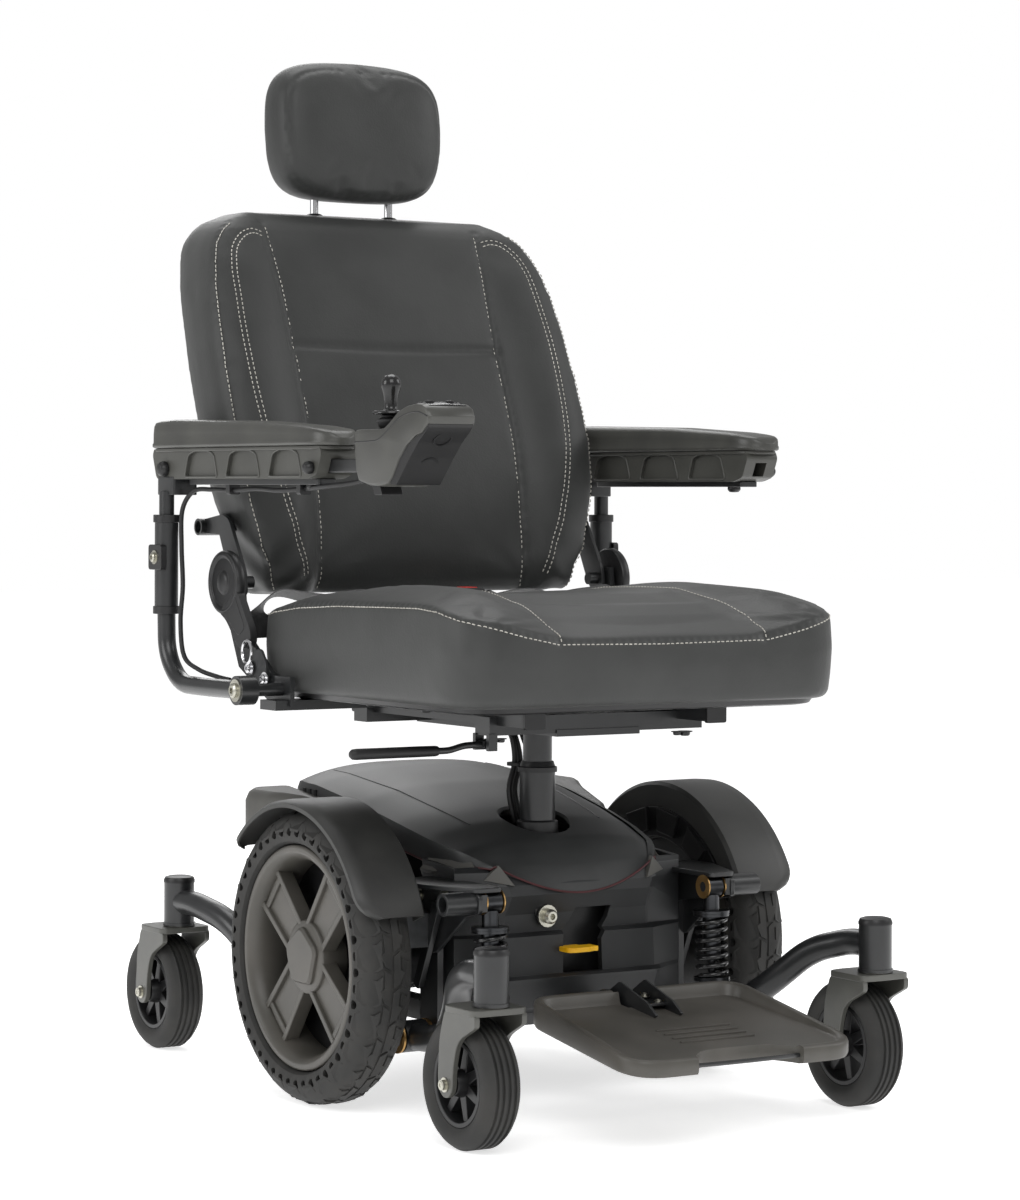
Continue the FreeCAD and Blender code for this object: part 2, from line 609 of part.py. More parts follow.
# Armrests: an L-shaped tube that flips back on a pin, with a sliding upper half.
def armrest(side, sign):
    x, y, z = sign * value("arm_x"), value("arm_y"), value("flip_z")
    flip_y = value("flip_y")
    radius, gap = value("arm_tube"), value("running_gap")
    top = value("sleeve_top")
    bend = [(x, flip_y + 8, z), (x, 180, z - 1), (x, 250, z), (x, y - 2, z + 36), (x, y, z + 100)]
    post = tube(bend, radius)
    eye = rod((x - radius, flip_y, z), (x + radius, flip_y, z), 18)
    sleeve = rod((x, y, z + 92), (x, y, top), 15)
    post = post.fuse([eye, sleeve]).cut([
        rod((x, y, z + 104), (x, y, top + 10), 10 + gap),
        rod((x - 30, flip_y, z), (x + 30, flip_y, z), 8 + gap),
    ])
    finish(f"armrest_post_{side}", solid(post))
    pad_x = f"{sign}*pad_x"
    inner = cylinder(10, 148, (x, y, z + 110))
    block = box((36, 40, 22), (f"{sign}*322-18", y - 20, 736))
    case = padded("YZ_Plane", [
        ("pad_front+26", 760), ("pad_front+16", 793.7), ("pad_back-4", 793.7), ("pad_back-14", 754),
        (-80, 754),
    ], 50, (pad_x, 0, 0))
    bar_slot = box((16.4, 250, 16.4), (f"{pad_x}-8.2", "pad_front", 761.8))
    finish(f"armrest_housing_{side}", cut(fuse(inner, block, case), bar_slot))
    cushion = padded("YZ_Plane", [
        ("pad_front+6", 794), ("pad_front", 800), ("pad_front+4", 812), ("pad_front+60", 818),
        (60, 826), ("pad_back-60", 831), ("pad_back-8", 829), ("pad_back", 818), ("pad_back-4", 794),
    ], 64, (pad_x, 0, 0))
    finish(f"armrest_pad_{side}", cushion)


def controller():
    x = "-pad_x"
    case = padded("YZ_Plane", [
        (-200, 766), (-200.6, 811), (-262.8, 811), (-303, 833), (-345.7, 840), (-364.5, 832), (-367, 812),
        (-289, 746), (-265, 745), (-209, 752),
    ], 64, (x, 0, 0))
    bar = box((16, 270, 16), (f"{x}-8", -210, 762))
    button_well = box((12.2, 12.2, 20), (f"{x}-6.1", "button_y-6.1", 812))
    finish("controller_housing", cut(fuse(case, bar), button_well))
    ring_hole = cylinder(5, 9, (x, "joystick_y", "tilt_z-4"))
    ring = cut(cylinder(8, 2.4, (x, "joystick_y", "tilt_z-1.2")), ring_hole)
    finish("joystick_ring", ring)
    profile = [
        (814, 0), (814, 3.5), (819, 3.5), (819.2, 12), (822, 15), (826, 9), (829, 22), (832, 22), (834, 7),
        (848, 4.5), (856, 6), (862, 10), (870, 9.5), (874, 4), (875, 0),
    ]
    stick = turned(profile, (x, "joystick_y", 0), 360, Rotation(Vector(0, 1, 0), -90))
    finish("joystick_stick", stick)
    finish("power_button", box((12, 12, 9.5), (f"{x}-6", "button_y-6", 813.8)))


def controller_lead():
    """The lead runs under the armrest and down its post to the seat."""
    points = [
        (-310, -201, 757.5), (-312, -150, 750), (-318, -92, 746), (-312, -30, 743), (-313, 30, 741),
        (-311, 90, 743), (-313, 150, 741), (-312, 205, 742), (-316, 248, 740), (-322, 268, 716),
        (-325, 264, 670), (-324, 262, 620), (-326, 264, 574),
        (-328, 250, 532), (-322, 222, 516), (-311, 192, 508), (-306, 168, 505),
    ]
    finish("controller_lead", solid(tube(points, 3)))


recliner_covers()
headrest()
seat_belt()
for side, sign in sides.items():
    armrest(side, sign)
controller()
controller_lead()

doc.recompute()
for piece in doc.Objects:
    if {"Invalid", "Error"} & set(piece.State):
        raise SystemExit(f"{piece.Name} {piece.Label} failed: {piece.State}")
whole = None
for piece in sub_parts:
    if piece.Shape.isNull() or not piece.Shape.isValid():
        raise SystemExit(f"{piece.Label} is not a valid shape")
    whole = whole.united(piece.Shape.BoundBox) if whole else piece.Shape.BoundBox

os.makedirs("parts", exist_ok=True)
for piece in sub_parts:
    piece.Shape.exportStep(f"parts/{piece.Label}.step")
    print(f"{piece.Label}: {len(piece.Shape.Solids)} solid, {piece.Shape.Volume / 1000:.0f} cm3")
print(f"{len(sub_parts)} sub-parts, {whole}")
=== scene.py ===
import json
import math

import bmesh
import bpy
from mathutils import Matrix, Vector
from mathutils.bvhtree import BVHTree
from mathutils.kdtree import KDTree


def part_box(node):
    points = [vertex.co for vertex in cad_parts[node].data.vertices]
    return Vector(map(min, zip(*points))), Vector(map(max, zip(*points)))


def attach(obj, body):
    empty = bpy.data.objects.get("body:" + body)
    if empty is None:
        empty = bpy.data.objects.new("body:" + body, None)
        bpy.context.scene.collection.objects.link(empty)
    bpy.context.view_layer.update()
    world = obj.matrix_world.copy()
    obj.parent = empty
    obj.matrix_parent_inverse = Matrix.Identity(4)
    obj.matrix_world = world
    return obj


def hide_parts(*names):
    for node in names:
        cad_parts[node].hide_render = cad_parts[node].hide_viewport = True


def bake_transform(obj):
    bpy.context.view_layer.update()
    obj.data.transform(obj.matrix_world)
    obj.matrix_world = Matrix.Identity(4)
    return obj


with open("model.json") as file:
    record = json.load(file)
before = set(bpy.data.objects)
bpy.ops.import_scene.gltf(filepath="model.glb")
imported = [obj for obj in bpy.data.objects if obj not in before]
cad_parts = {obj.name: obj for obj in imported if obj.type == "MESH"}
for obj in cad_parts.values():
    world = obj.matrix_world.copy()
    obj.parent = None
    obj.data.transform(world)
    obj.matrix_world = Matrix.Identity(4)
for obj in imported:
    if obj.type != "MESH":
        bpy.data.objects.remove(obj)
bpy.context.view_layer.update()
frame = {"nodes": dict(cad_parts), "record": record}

# Power wheelchair. Shapes are given in millimetres, from the floor and the drive
# axle's line, with the chair facing -Y and the user's right at -X.
nodes = frame["nodes"]
tyreLow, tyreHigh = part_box("drive_tyre_right")
axleLine = Vector((0, (tyreLow.y + tyreHigh.y) / 2, 0))
sides = {"right": -1, "left": 1}
places = {"columnY": -65, "armX": 310, "postX": 333, "postY": 290, "crossTube": (-210, 258)}


def place(point):
    return Vector(point) * 0.001 + axleLine


def blendCurve(table, t):
    # value at t on the straight lines through a table of (t, value) pairs
    if t <= table[0][0]:
        return table[0][1]
    for (t0, v0), (t1, v1) in zip(table, table[1:]):
        if t <= t1:
            return v0 + (v1 - v0) * (t - t0) / (t1 - t0)
    return table[-1][1]


def ease(low, high, t):
    t = min(1, max(0, (t - low) / (high - low)))
    return t * t * (3 - 2 * t)


def toLinear(colour):
    # sRGB hex to the linear values that the shaders take
    parts = [int(colour[i:i + 2], 16) / 255 for i in (1, 3, 5)]
    return tuple(c / 12.92 if c <= 0.04045 else ((c + 0.055) / 1.055) ** 2.4 for c in parts) + (1,)


def addNode(look, kind, links={}, **settings):
    # one node with its settings; links maps an input to a value or to another node's output
    node = look.node_tree.nodes.new(kind)
    for name, value in settings.items():
        setattr(node, name, value)
    for name, value in links.items():
        if isinstance(value, bpy.types.NodeSocket):
            look.node_tree.links.new(value, node.inputs[name])
        else:
            node.inputs[name].default_value = value
    return node


def newLook(name, **sockets):
    # a Principled material; underscores in the names stand for spaces
    look = bpy.data.materials.new(name)
    look.use_nodes = True
    shader = look.node_tree.nodes["Principled BSDF"]
    for socket, value in sockets.items():
        shader.inputs[socket.replace("_", " ")].default_value = value
    return look, shader


def tint(look, shader, dark, light, scale, detail=4, low=0.35, high=0.65):
    # slow drift between two close colours, scale in drifts per metre
    spot = addNode(look, "ShaderNodeTexCoord").outputs["Object"]
    noise = addNode(look, "ShaderNodeTexNoise", {"Vector": spot, "Scale": scale, "Detail": detail})
    ramp = addNode(look, "ShaderNodeValToRGB", {"Fac": noise.outputs["Fac"]})
    ramp.color_ramp.elements[0].position, ramp.color_ramp.elements[1].position = low, high
    ramp.color_ramp.elements[0].color, ramp.color_ramp.elements[1].color = toLinear(dark), toLinear(light)
    look.node_tree.links.new(ramp.outputs["Color"], shader.inputs["Base Color"])
    return spot, noise.outputs["Fac"]


def varyRoughness(look, shader, source, low, high):
    # roughness drifts between low and high with source
    spread = addNode(look, "ShaderNodeMapRange", {"Value": source, "To Min": low, "To Max": high})
    look.node_tree.links.new(spread.outputs["Result"], shader.inputs["Roughness"])


def bump(look, shader, source, strength, distance, under=None):
    # relief from a height source, on top of another bump when under is given
    links = {"Height": source, "Strength": strength, "Distance": distance}
    if under:
        links["Normal"] = under
    node = addNode(look, "ShaderNodeBump", links)
    look.node_tree.links.new(node.outputs["Normal"], shader.inputs["Normal"])
    return node.outputs["Normal"]


def leatherette(name, dark, light):
    # Coated upholstery leather: pebbled grain about 1 mm across, drawn at 2.4 mm so that
    # it shows, soft creasing in the cover and a broad dull shine.
    look, shader = newLook(name, Roughness=0.5, IOR=1.5, Specular_IOR_Level=0.42, Sheen_Weight=0.08)
    shader.inputs["Sheen Roughness"].default_value = 0.5
    spot, drift = tint(look, shader, dark, light, 9)
    grain = addNode(look, "ShaderNodeTexVoronoi", {"Vector": spot, "Scale": 1 / 0.0024},
                    feature="SMOOTH_F1")
    pore = bump(look, shader, grain.outputs["Distance"], 0.16, 0.0007)
    crease = addNode(look, "ShaderNodeTexNoise",
                     {"Vector": spot, "Scale": 22, "Detail": 3, "Distortion": 0.4})
    bump(look, shader, crease.outputs["Fac"], 0.12, 0.004, pore)
    varyRoughness(look, shader, drift, 0.44, 0.56)
    return look


def mouldedPlastic(name, dark, light, rough, grit=0.9, depth=0.12):
    # Injection-moulded ABS or nylon with a spark-eroded texture: grit in mm, drawn coarser
    # than the real 0.3 mm so that it breaks up the highlight.
    look, shader = newLook(name, Roughness=rough, IOR=1.5)
    spot, drift = tint(look, shader, dark, light, 14)
    fine = addNode(look, "ShaderNodeTexNoise", {"Vector": spot, "Scale": 1000 / grit, "Detail": 2})
    bump(look, shader, fine.outputs["Fac"], depth, 0.0004)
    varyRoughness(look, shader, drift, rough - 0.05, rough + 0.06)
    return look


def powderCoat(name, dark, light, rough=0.34):
    # Black powder-coated steel: slight orange peel about 1.5 mm across, semi-gloss.
    look, shader = newLook(name, Roughness=rough, IOR=1.5, Coat_Weight=0.25, Coat_Roughness=0.2)
    spot, drift = tint(look, shader, dark, light, 20)
    peel = addNode(look, "ShaderNodeTexNoise", {"Vector": spot, "Scale": 1 / 0.0015, "Detail": 1})
    bump(look, shader, peel.outputs["Fac"], 0.08, 0.0004)
    varyRoughness(look, shader, drift, rough - 0.05, rough + 0.08)
    return look


def metal(name, dark, light, rough, scratch=0.05):
    # Plated or bare metal; faint wiping marks drift across it.
    look, shader = newLook(name, Roughness=rough, Metallic=1.0)
    spot, drift = tint(look, shader, dark, light, 40)
    wipe = addNode(look, "ShaderNodeTexNoise",
                   {"Vector": spot, "Scale": 220, "Detail": 3, "Distortion": 1.2})
    bump(look, shader, wipe.outputs["Fac"], scratch, 0.0003)
    varyRoughness(look, shader, drift, rough - 0.06, rough + 0.1)
    return look


def tyreRubber():
    # Solid tyre compound: dull black with a dusty bloom and a faint mould texture.
    look, shader = newLook("tyreRubber", Roughness=0.72, IOR=1.5)
    spot, drift = tint(look, shader, "#222221", "#31302e", 26, 6)
    fine = addNode(look, "ShaderNodeTexNoise", {"Vector": spot, "Scale": 1 / 0.0012, "Detail": 3})
    bump(look, shader, fine.outputs["Fac"], 0.2, 0.0005)
    varyRoughness(look, shader, drift, 0.62, 0.82)
    return look


def wovenWebbing():
    # Polyester belt webbing: a 1.6 mm weave with a slight sheen along it.
    look, shader = newLook("wovenWebbing", Roughness=0.6, Sheen_Weight=0.25)
    spot, _ = tint(look, shader, "#161617", "#222223", 60)
    weave = addNode(look, "ShaderNodeTexWave", {"Vector": spot, "Scale": 1 / 0.0032 / 2, "Distortion": 1.5})
    bump(look, shader, weave.outputs["Fac"], 0.4, 0.0005)
    return look


leather = leatherette("upholsteryLeatherette", "#272827", "#303130")
sideLeather = leatherette("sideLeatherette", "#2c2d2c", "#363736")
thread = mouldedPlastic("polyesterThread", "#aaa79f", "#c4c1b9", 0.7, 2)
shroudPlastic = mouldedPlastic("shroudAbs", "#2e2f2f", "#373838", 0.46)
shellPlastic = mouldedPlastic("noseAbs", "#1d1e1f", "#262728", 0.44)
tailPlastic = mouldedPlastic("tailAbs", "#4b4a47", "#565551", 0.5)
fenderPlastic = mouldedPlastic("fenderAbs", "#2d2d2c", "#383836", 0.46)
rimPlastic = mouldedPlastic("rimNylon", "#46443f", "#524f4a", 0.42)
armPlastic = mouldedPlastic("armrestPolypropylene", "#3f3f3b", "#4a4a46", 0.42)
padSkin = mouldedPlastic("armPadUrethane", "#3c3c39", "#474743", 0.38, 1.4, 0.18)
glossPlastic = mouldedPlastic("glossAbs", "#1c1c1c", "#242424", 0.2, 3, 0.03)
handsetPlastic = mouldedPlastic("handsetAbs", "#3a3a37", "#444440", 0.34)
blackPlastic = mouldedPlastic("blackNylon", "#131314", "#1b1b1c", 0.4)
softRubber = mouldedPlastic("bellowsRubber", "#0e0e0f", "#161617", 0.5)
yellowPlastic = mouldedPlastic("yellowNylon", "#e8ac08", "#f6c21a", 0.38)
redPlastic = mouldedPlastic("redButton", "#b01c14", "#c8271c", 0.3)
redSeal = mouldedPlastic("redSeal", "#3c1418", "#4a1a1e", 0.5)
coatedSteel = powderCoat("powderCoatedSteel", "#191a1b", "#222324")
forkSteel = powderCoat("forkPowderCoat", "#454541", "#50504b", 0.42)
rubber = tyreRubber()
chrome = metal("chromePlatedSteel", "#c9c9cb", "#e2e2e4", 0.12)
damperSteel = metal("blackenedSteel", "#3a3b3d", "#4b4c4e", 0.28)
zinc = metal("zincPlatedSteel", "#a9a79c", "#c8c6ba", 0.3)
bronze = metal("bronzeBush", "#b8915a", "#d3ab70", 0.36)
springWire = powderCoat("blackSpringWire", "#0e0e0f", "#161617", 0.22)
castAlloy = metal("castAlloy", "#4a4b4c", "#5c5d5e", 0.45, 0.3)
webbing = wovenWebbing()
batteryCase = mouldedPlastic("batteryCase", "#2a2a2c", "#333335", 0.5)
print("materials made")


def addPiece(name, points, faces, look, body, slot, replaced=(), bevel=0.0, angle=35):
    # a mesh of points in millimetres, on its body, with its edges rounded by a bevel
    mesh = bpy.data.meshes.new(name)
    mesh.from_pydata([place(point) for point in points], [], faces)
    mesh.validate()
    return dress(bpy.data.objects.new(name, mesh), look, body, slot, replaced, bevel, angle)


def dress(piece, look, body, slot, replaced=(), bevel=0.0, angle=35):
    # links a mesh, gives it its look and edges, and puts it on its body; slot is not used
    if piece.name not in bpy.context.scene.collection.objects:
        bpy.context.scene.collection.objects.link(piece)
    mesh = piece.data
    recalculate(mesh)
    mesh.materials.clear()
    mesh.materials.append(look)
    mesh.shade_smooth()
    mesh.set_sharp_from_angle(angle=math.radians(angle))
    if bevel:
        softenEdges(piece, bevel, angle)
    if body:
        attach(piece, body)
    if replaced:
        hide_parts(*replaced)
    return piece


def softenEdges(piece, width, angle=30):
    # a two-step bevel on the edges sharper than angle, width in millimetres
    edge = piece.modifiers.new("edge", "BEVEL")
    edge.width = width * 0.001
    edge.segments = 2
    edge.limit_method = "ANGLE"
    edge.angle_limit = math.radians(angle)
    edge.harden_normals = True


def recalculate(mesh):
    # all faces outwards
    work = bmesh.new()
    work.from_mesh(mesh)
    bmesh.ops.recalc_face_normals(work, faces=work.faces)
    work.to_mesh(mesh)
    work.free()


def addParts(name, shapes, look, body, slot, replaced=(), bevel=0.0, angle=35):
    # several shapes as one piece
    return addPiece(name, *joinShapes(shapes), look, body, slot, replaced, bevel, angle)


def joinShapes(shapes):
    # several (points, faces) shapes as one
    points, faces = [], []
    for extra, own in shapes:
        start = len(points)
        points += list(extra)
        faces += [tuple(start + i for i in face) for face in own]
    return points, faces


def squareRound(angle, upper, lower=None):
    # a point on a circle pulled towards a square, by one power above and one below the middle
    c, s = math.cos(angle), math.sin(angle)
    power = upper if s > 0 or lower is None else lower
    return math.copysign(abs(c) ** power, c), math.copysign(abs(s) ** power, s)


def oblong(left, low, right, high):
    return [(left, low), (right, low), (right, high), (left, high)]


def ringSection(start, inner, end, outer):
    # section of a washer, tube or sleeve for lathe
    return [(start, inner), (start, outer), (end, outer), (end, inner)]


def sided(sign, profile):
    # the profile for the side that sign says
    return [(sign * along, reach) for along, reach in profile]


def loft(rings, closed=True, capped=True):
    # a skin over rings that each have the same number of points
    count = len(rings[0])
    points = [point for ring in rings for point in ring]
    faces = []
    for row in range(len(rings) - 1):
        for i in range(count if closed else count - 1):
            j = (i + 1) % count
            faces.append((row * count + i, row * count + j, (row + 1) * count + j, (row + 1) * count + i))
    if capped and closed:
        faces.append(tuple(range(count)))
        faces.append(tuple(range((len(rings) - 1) * count, len(rings) * count)))
    return points, faces


def roundCorners(outline, radius, steps=5):
    # a closed outline with each corner swept by an arc; radius may be one number or a list
    result = []
    count = len(outline)
    for i, corner in enumerate(outline):
        reach = radius[i] if isinstance(radius, (list, tuple)) else radius
        here = Vector(corner)
        back, ahead = Vector(outline[i - 1]) - here, Vector(outline[(i + 1) % count]) - here
        cutBack = min(reach, back.length * 0.48, ahead.length * 0.48)
        if cutBack < 0.01:
            result.append(tuple(here))
            continue
        first, last = here + back.normalized() * cutBack, here + ahead.normalized() * cutBack
        for step in range(steps + 1):
            t = step / steps
            result.append(tuple(first * (1 - t) ** 2 + here * 2 * t * (1 - t) + last * t * t))
    return result


def axes(plane, a, b, along):
    # a point from its two places in a plane and one along the plane's normal
    return {"yz": (along, a, b), "xz": (a, along, b), "xy": (a, b, along)}[plane]


def slab(plane, outline, low, high):
    # an outline pushed from low to high along its plane's normal
    return loft([[axes(plane, a, b, low) for a, b in outline],
                 [axes(plane, a, b, high) for a, b in outline]])


def lathe(profile, centre, axis="x", steps=48, turnFrom=0.0, turn=360.0):
    # (along, radius) points turned about an axis through centre
    full = turn >= 360
    rings = []
    for step in range(steps if full else steps + 1):
        angle = math.radians(turnFrom + turn * step / steps)
        ring = []
        for along, radius in profile:
            a, b = radius * math.cos(angle), radius * math.sin(angle)
            offset = {"x": (along, a, b), "y": (a, along, b), "z": (a, b, along)}[axis]
            ring.append(tuple(c + o for c, o in zip(centre, offset)))
        rings.append(ring)
    count = len(profile)
    points = [point for ring in rings for point in ring]
    faces = []
    for step in range(len(rings) if full else len(rings) - 1):
        after = (step + 1) % len(rings)
        for i in range(count):
            j = (i + 1) % count
            faces.append((step * count + i, after * count + i, after * count + j, step * count + j))
    if not full:
        faces += [tuple(range(count)), tuple(range((len(rings) - 1) * count, len(rings) * count))]
    return points, faces


def smoothPath(points, per=8):
    # points along a clamped cubic that passes through every given point
    path = []
    places = [Vector(point) for point in points]
    for i in range(len(places) - 1):
        p1, p2 = places[i], places[i + 1]
        m1 = (places[i + 1] - places[max(i - 1, 0)]) * 0.5
        m2 = (places[min(i + 2, len(places) - 1)] - places[i]) * 0.5
        for step in range(per):
            t = step / per
            path.append(p1 * (2 * t**3 - 3 * t**2 + 1) + m1 * (t**3 - 2 * t**2 + t)
                        + p2 * (-2 * t**3 + 3 * t**2) + m2 * (t**3 - t**2))
    return path + [places[-1]]


def pipe(path, radius, sides=14):
    # a round bar along a list of points
    rings = []
    path = [Vector(point) for point in path]
    normal = None
    for i, here in enumerate(path):
        ahead = (path[min(i + 1, len(path) - 1)] - path[max(i - 1, 0)]).normalized()
        if normal is None:
            normal = ahead.orthogonal()
        normal = (normal - ahead * normal.dot(ahead)).normalized()
        across = ahead.cross(normal)
        ring = []
        for step in range(sides):
            angle = 2 * math.pi * (step + 0.5) / sides
            ring.append(here + normal * math.cos(angle) * radius + across * math.sin(angle) * radius)
        rings.append(ring)
    return loft(rings)


def strap(path, width, thick, facing):
    # flat webbing along a path; facing is the direction that its flat side looks in
    rings = []
    path = [Vector(point) for point in path]
    for i, here in enumerate(path):
        ahead = (path[min(i + 1, len(path) - 1)] - path[max(i - 1, 0)]).normalized()
        look = Vector(facing)
        look = (look - ahead * look.dot(ahead)).normalized()
        across = ahead.cross(look)
        corners = ((-0.5, -0.5), (-0.46, 0.5), (0, 0.6), (0.46, 0.5), (0.5, -0.5), (0, -0.6))
        rings.append([here + across * a * width + look * b * thick for a, b in corners])
    return loft(rings)


def bolt(centre, axis, radius, height, sign=1):
    # a domed hexagon-socket head standing on a washer
    profile = [(0, 0.01), (0, radius * 1.5), (height * 0.2, radius * 1.5), (height * 0.2, radius),
               (height * 0.75, radius), (height, radius * 0.72), (height, radius * 0.42),
               (height * 0.55, radius * 0.36), (height * 0.55, 0.01)]
    return lathe([(sign * along, reach) for along, reach in profile], centre, axis, 16)


def cutAway(piece, shapes):
    # takes closed shapes out of a piece
    mesh = bpy.data.meshes.new("cutter")
    points, faces = joinShapes(shapes)
    mesh.from_pydata([place(point) for point in points], [], faces)
    recalculate(mesh)
    cutter = bpy.data.objects.new("cutter", mesh)
    bpy.context.scene.collection.objects.link(cutter)
    opening = piece.modifiers.new("opening", "BOOLEAN")
    opening.object = cutter
    opening.solver = "EXACT"
    applyModifiers(piece)
    bpy.data.objects.remove(cutter)
    piece.data.set_sharp_from_angle(angle=math.radians(35))


def puff(piece, voxel, pressure, cap, pinned):
    # the cover is remeshed, blown up a little by its foam and held where pinned says
    view = bpy.context.view_layer
    view.objects.active = piece
    remesh = piece.modifiers.new("even", "REMESH")
    remesh.mode = "VOXEL"
    remesh.voxel_size = voxel * 0.001
    applyModifiers(piece)
    start = [vertex.co.copy() for vertex in piece.data.vertices]
    holding = piece.vertex_groups.new(name="held")
    held = [vertex.index for vertex in piece.data.vertices
            if pinned((vertex.co - axleLine) * 1000)]
    holding.add(held, 1.0, "REPLACE")
    cloth = piece.modifiers.new("cover", "CLOTH")
    cloth.settings.quality = 4
    cloth.settings.tension_stiffness = cloth.settings.compression_stiffness = 28
    cloth.settings.bending_stiffness = 4
    cloth.settings.use_pressure = True
    cloth.settings.uniform_pressure_force = pressure
    cloth.settings.effector_weights.gravity = 0
    cloth.settings.vertex_group_mass = "held"
    cloth.collision_settings.use_collision = False
    cloth.point_cache.frame_end = 20
    for step in range(1, 21):
        bpy.context.scene.frame_set(step)
    applyModifiers(piece)
    for vertex, before in zip(piece.data.vertices, start):
        move = vertex.co - before
        if move.length > cap * 0.001:
            vertex.co = before + move.normalized() * cap * 0.001
    bpy.context.scene.frame_set(1)
    relax = piece.modifiers.new("relax", "SMOOTH")
    relax.iterations = 2
    relax.factor = 0.5
    applyModifiers(piece)


def applyModifiers(piece):
    # the mesh as its modifiers leave it
    graph = bpy.context.evaluated_depsgraph_get()
    graph.update()
    mesh = bpy.data.meshes.new_from_object(piece.evaluated_get(graph))
    piece.modifiers.clear()
    piece.data = mesh


def pressSeams(piece, routes, depth, width):
    # draws the cover in along each seam; routes are lists of points in millimetres
    spots = [place(point) for route in routes for point in route]
    tree = KDTree(len(spots))
    for i, spot in enumerate(spots):
        tree.insert(spot, i)
    tree.balance()
    normals = [vertex.normal.copy() for vertex in piece.data.vertices]
    for vertex, normal in zip(piece.data.vertices, normals):
        _, _, gap = tree.find(vertex.co)
        gap *= 1000
        if gap < width * 3:
            vertex.co -= normal * depth * 0.001 * math.exp(-(gap / width) ** 2)


def onCover(cover, route, lift=0.4):
    # moves a route's points onto the cover and gives its normals there
    tree = BVHTree.FromObject(cover, bpy.context.evaluated_depsgraph_get())
    result = []
    for point in route:
        spot, normal, _, _ = tree.find_nearest(place(point))
        result.append(((spot - axleLine) * 1000 + normal * lift, normal))
    return result


def evenly(route, spacing):
    # points every spacing millimetres along a route
    route = [Vector(point) for point in route]
    result = [route[0]]
    left = spacing
    for a, b in zip(route, route[1:]):
        length = (b - a).length
        done = 0
        while length - done >= left:
            done += left
            result.append(a.lerp(b, done / length))
            left = spacing
        left -= length - done
    return result


def stitchShapes(cover, route, offset=0.0, length=4.6, gap=2.0, thick=0.75):
    # a run of single stitches; offset moves it sideways from the route
    spots = onCover(cover, evenly(route, (length + gap) / 2))
    shapes = []
    for i in range(0, len(spots) - 2, 2):
        (a, normal), (b, _) = spots[i], spots[i + 1]
        ahead = (b - a).normalized()
        across = ahead.cross(normal)
        middle = (a + b) / 2 + across * offset
        half = length / 2
        rings = []
        for along, lift, size in ((-half, -0.9, 0.5), (-half * 0.6, 0.15, 1), (half * 0.6, 0.15, 1),
                                  (half, -0.9, 0.5)):
            centre = middle + ahead * along + normal * lift
            rings.append([tuple(centre + across * thick * size * x + normal * thick * size * z)
                          for x, z in ((1, 0), (0, 1), (-1, 0), (0, -1))])
        shapes.append(loft(rings))
    return shapes


def sewOn(name, cover, runs, body, slot):
    # runs of (route, offset) as one piece of thread
    shapes = [shape for route, offset in runs for shape in stitchShapes(cover, route, offset)]
    points, faces = joinShapes(shapes)
    return addPiece(name, points, faces, thread, body, slot, angle=80)


def paintPanels(piece, second, chosen):
    # a second leather on the faces that chosen says, by their middle in millimetres
    piece.data.materials.append(second)
    for face in piece.data.polygons:
        if chosen((face.center - axleLine) * 1000, face.normal):
            face.material_index = 1


seat = {"half": 270.5, "front": -339, "back": 156, "low": 492, "corner": 46, "rearCorner": 34,
        "crown": 612, "bolster": 15, "panelSeam": 146}


def seatSeamHeight(x, y):
    # the welt is low across the front and climbs to the sides
    side = blendCurve([(-338, 590), (-294, 604), (-228, 609), (-148, 608), (-41, 606), (58, 601),
                       (156, 590)], y)
    front = blendCurve([(0, 567), (150, 569), (200, 579), (240, 590), (268, 598)], abs(x))
    return front + (side - front) * ease(-325, -270, y)


def seatTop(x, y):
    # height of the seat cover: bolsters, a hollow, the front waterfall and the drop to the back
    bolster = seat["bolster"] * math.exp(-((abs(x) - 205) / 48) ** 2) * ease(160, -100, y)
    hollow = -5 * math.exp(-((y - 30) / 130) ** 2) * math.exp(-(x / 120) ** 2)
    waterfall = -34 * ease(-235, -345, y) * (1 - 0.4 * ease(120, 230, abs(x)))
    rear = -18 * ease(60, 160, y)
    return seat["crown"] + bolster + hollow + waterfall + rear


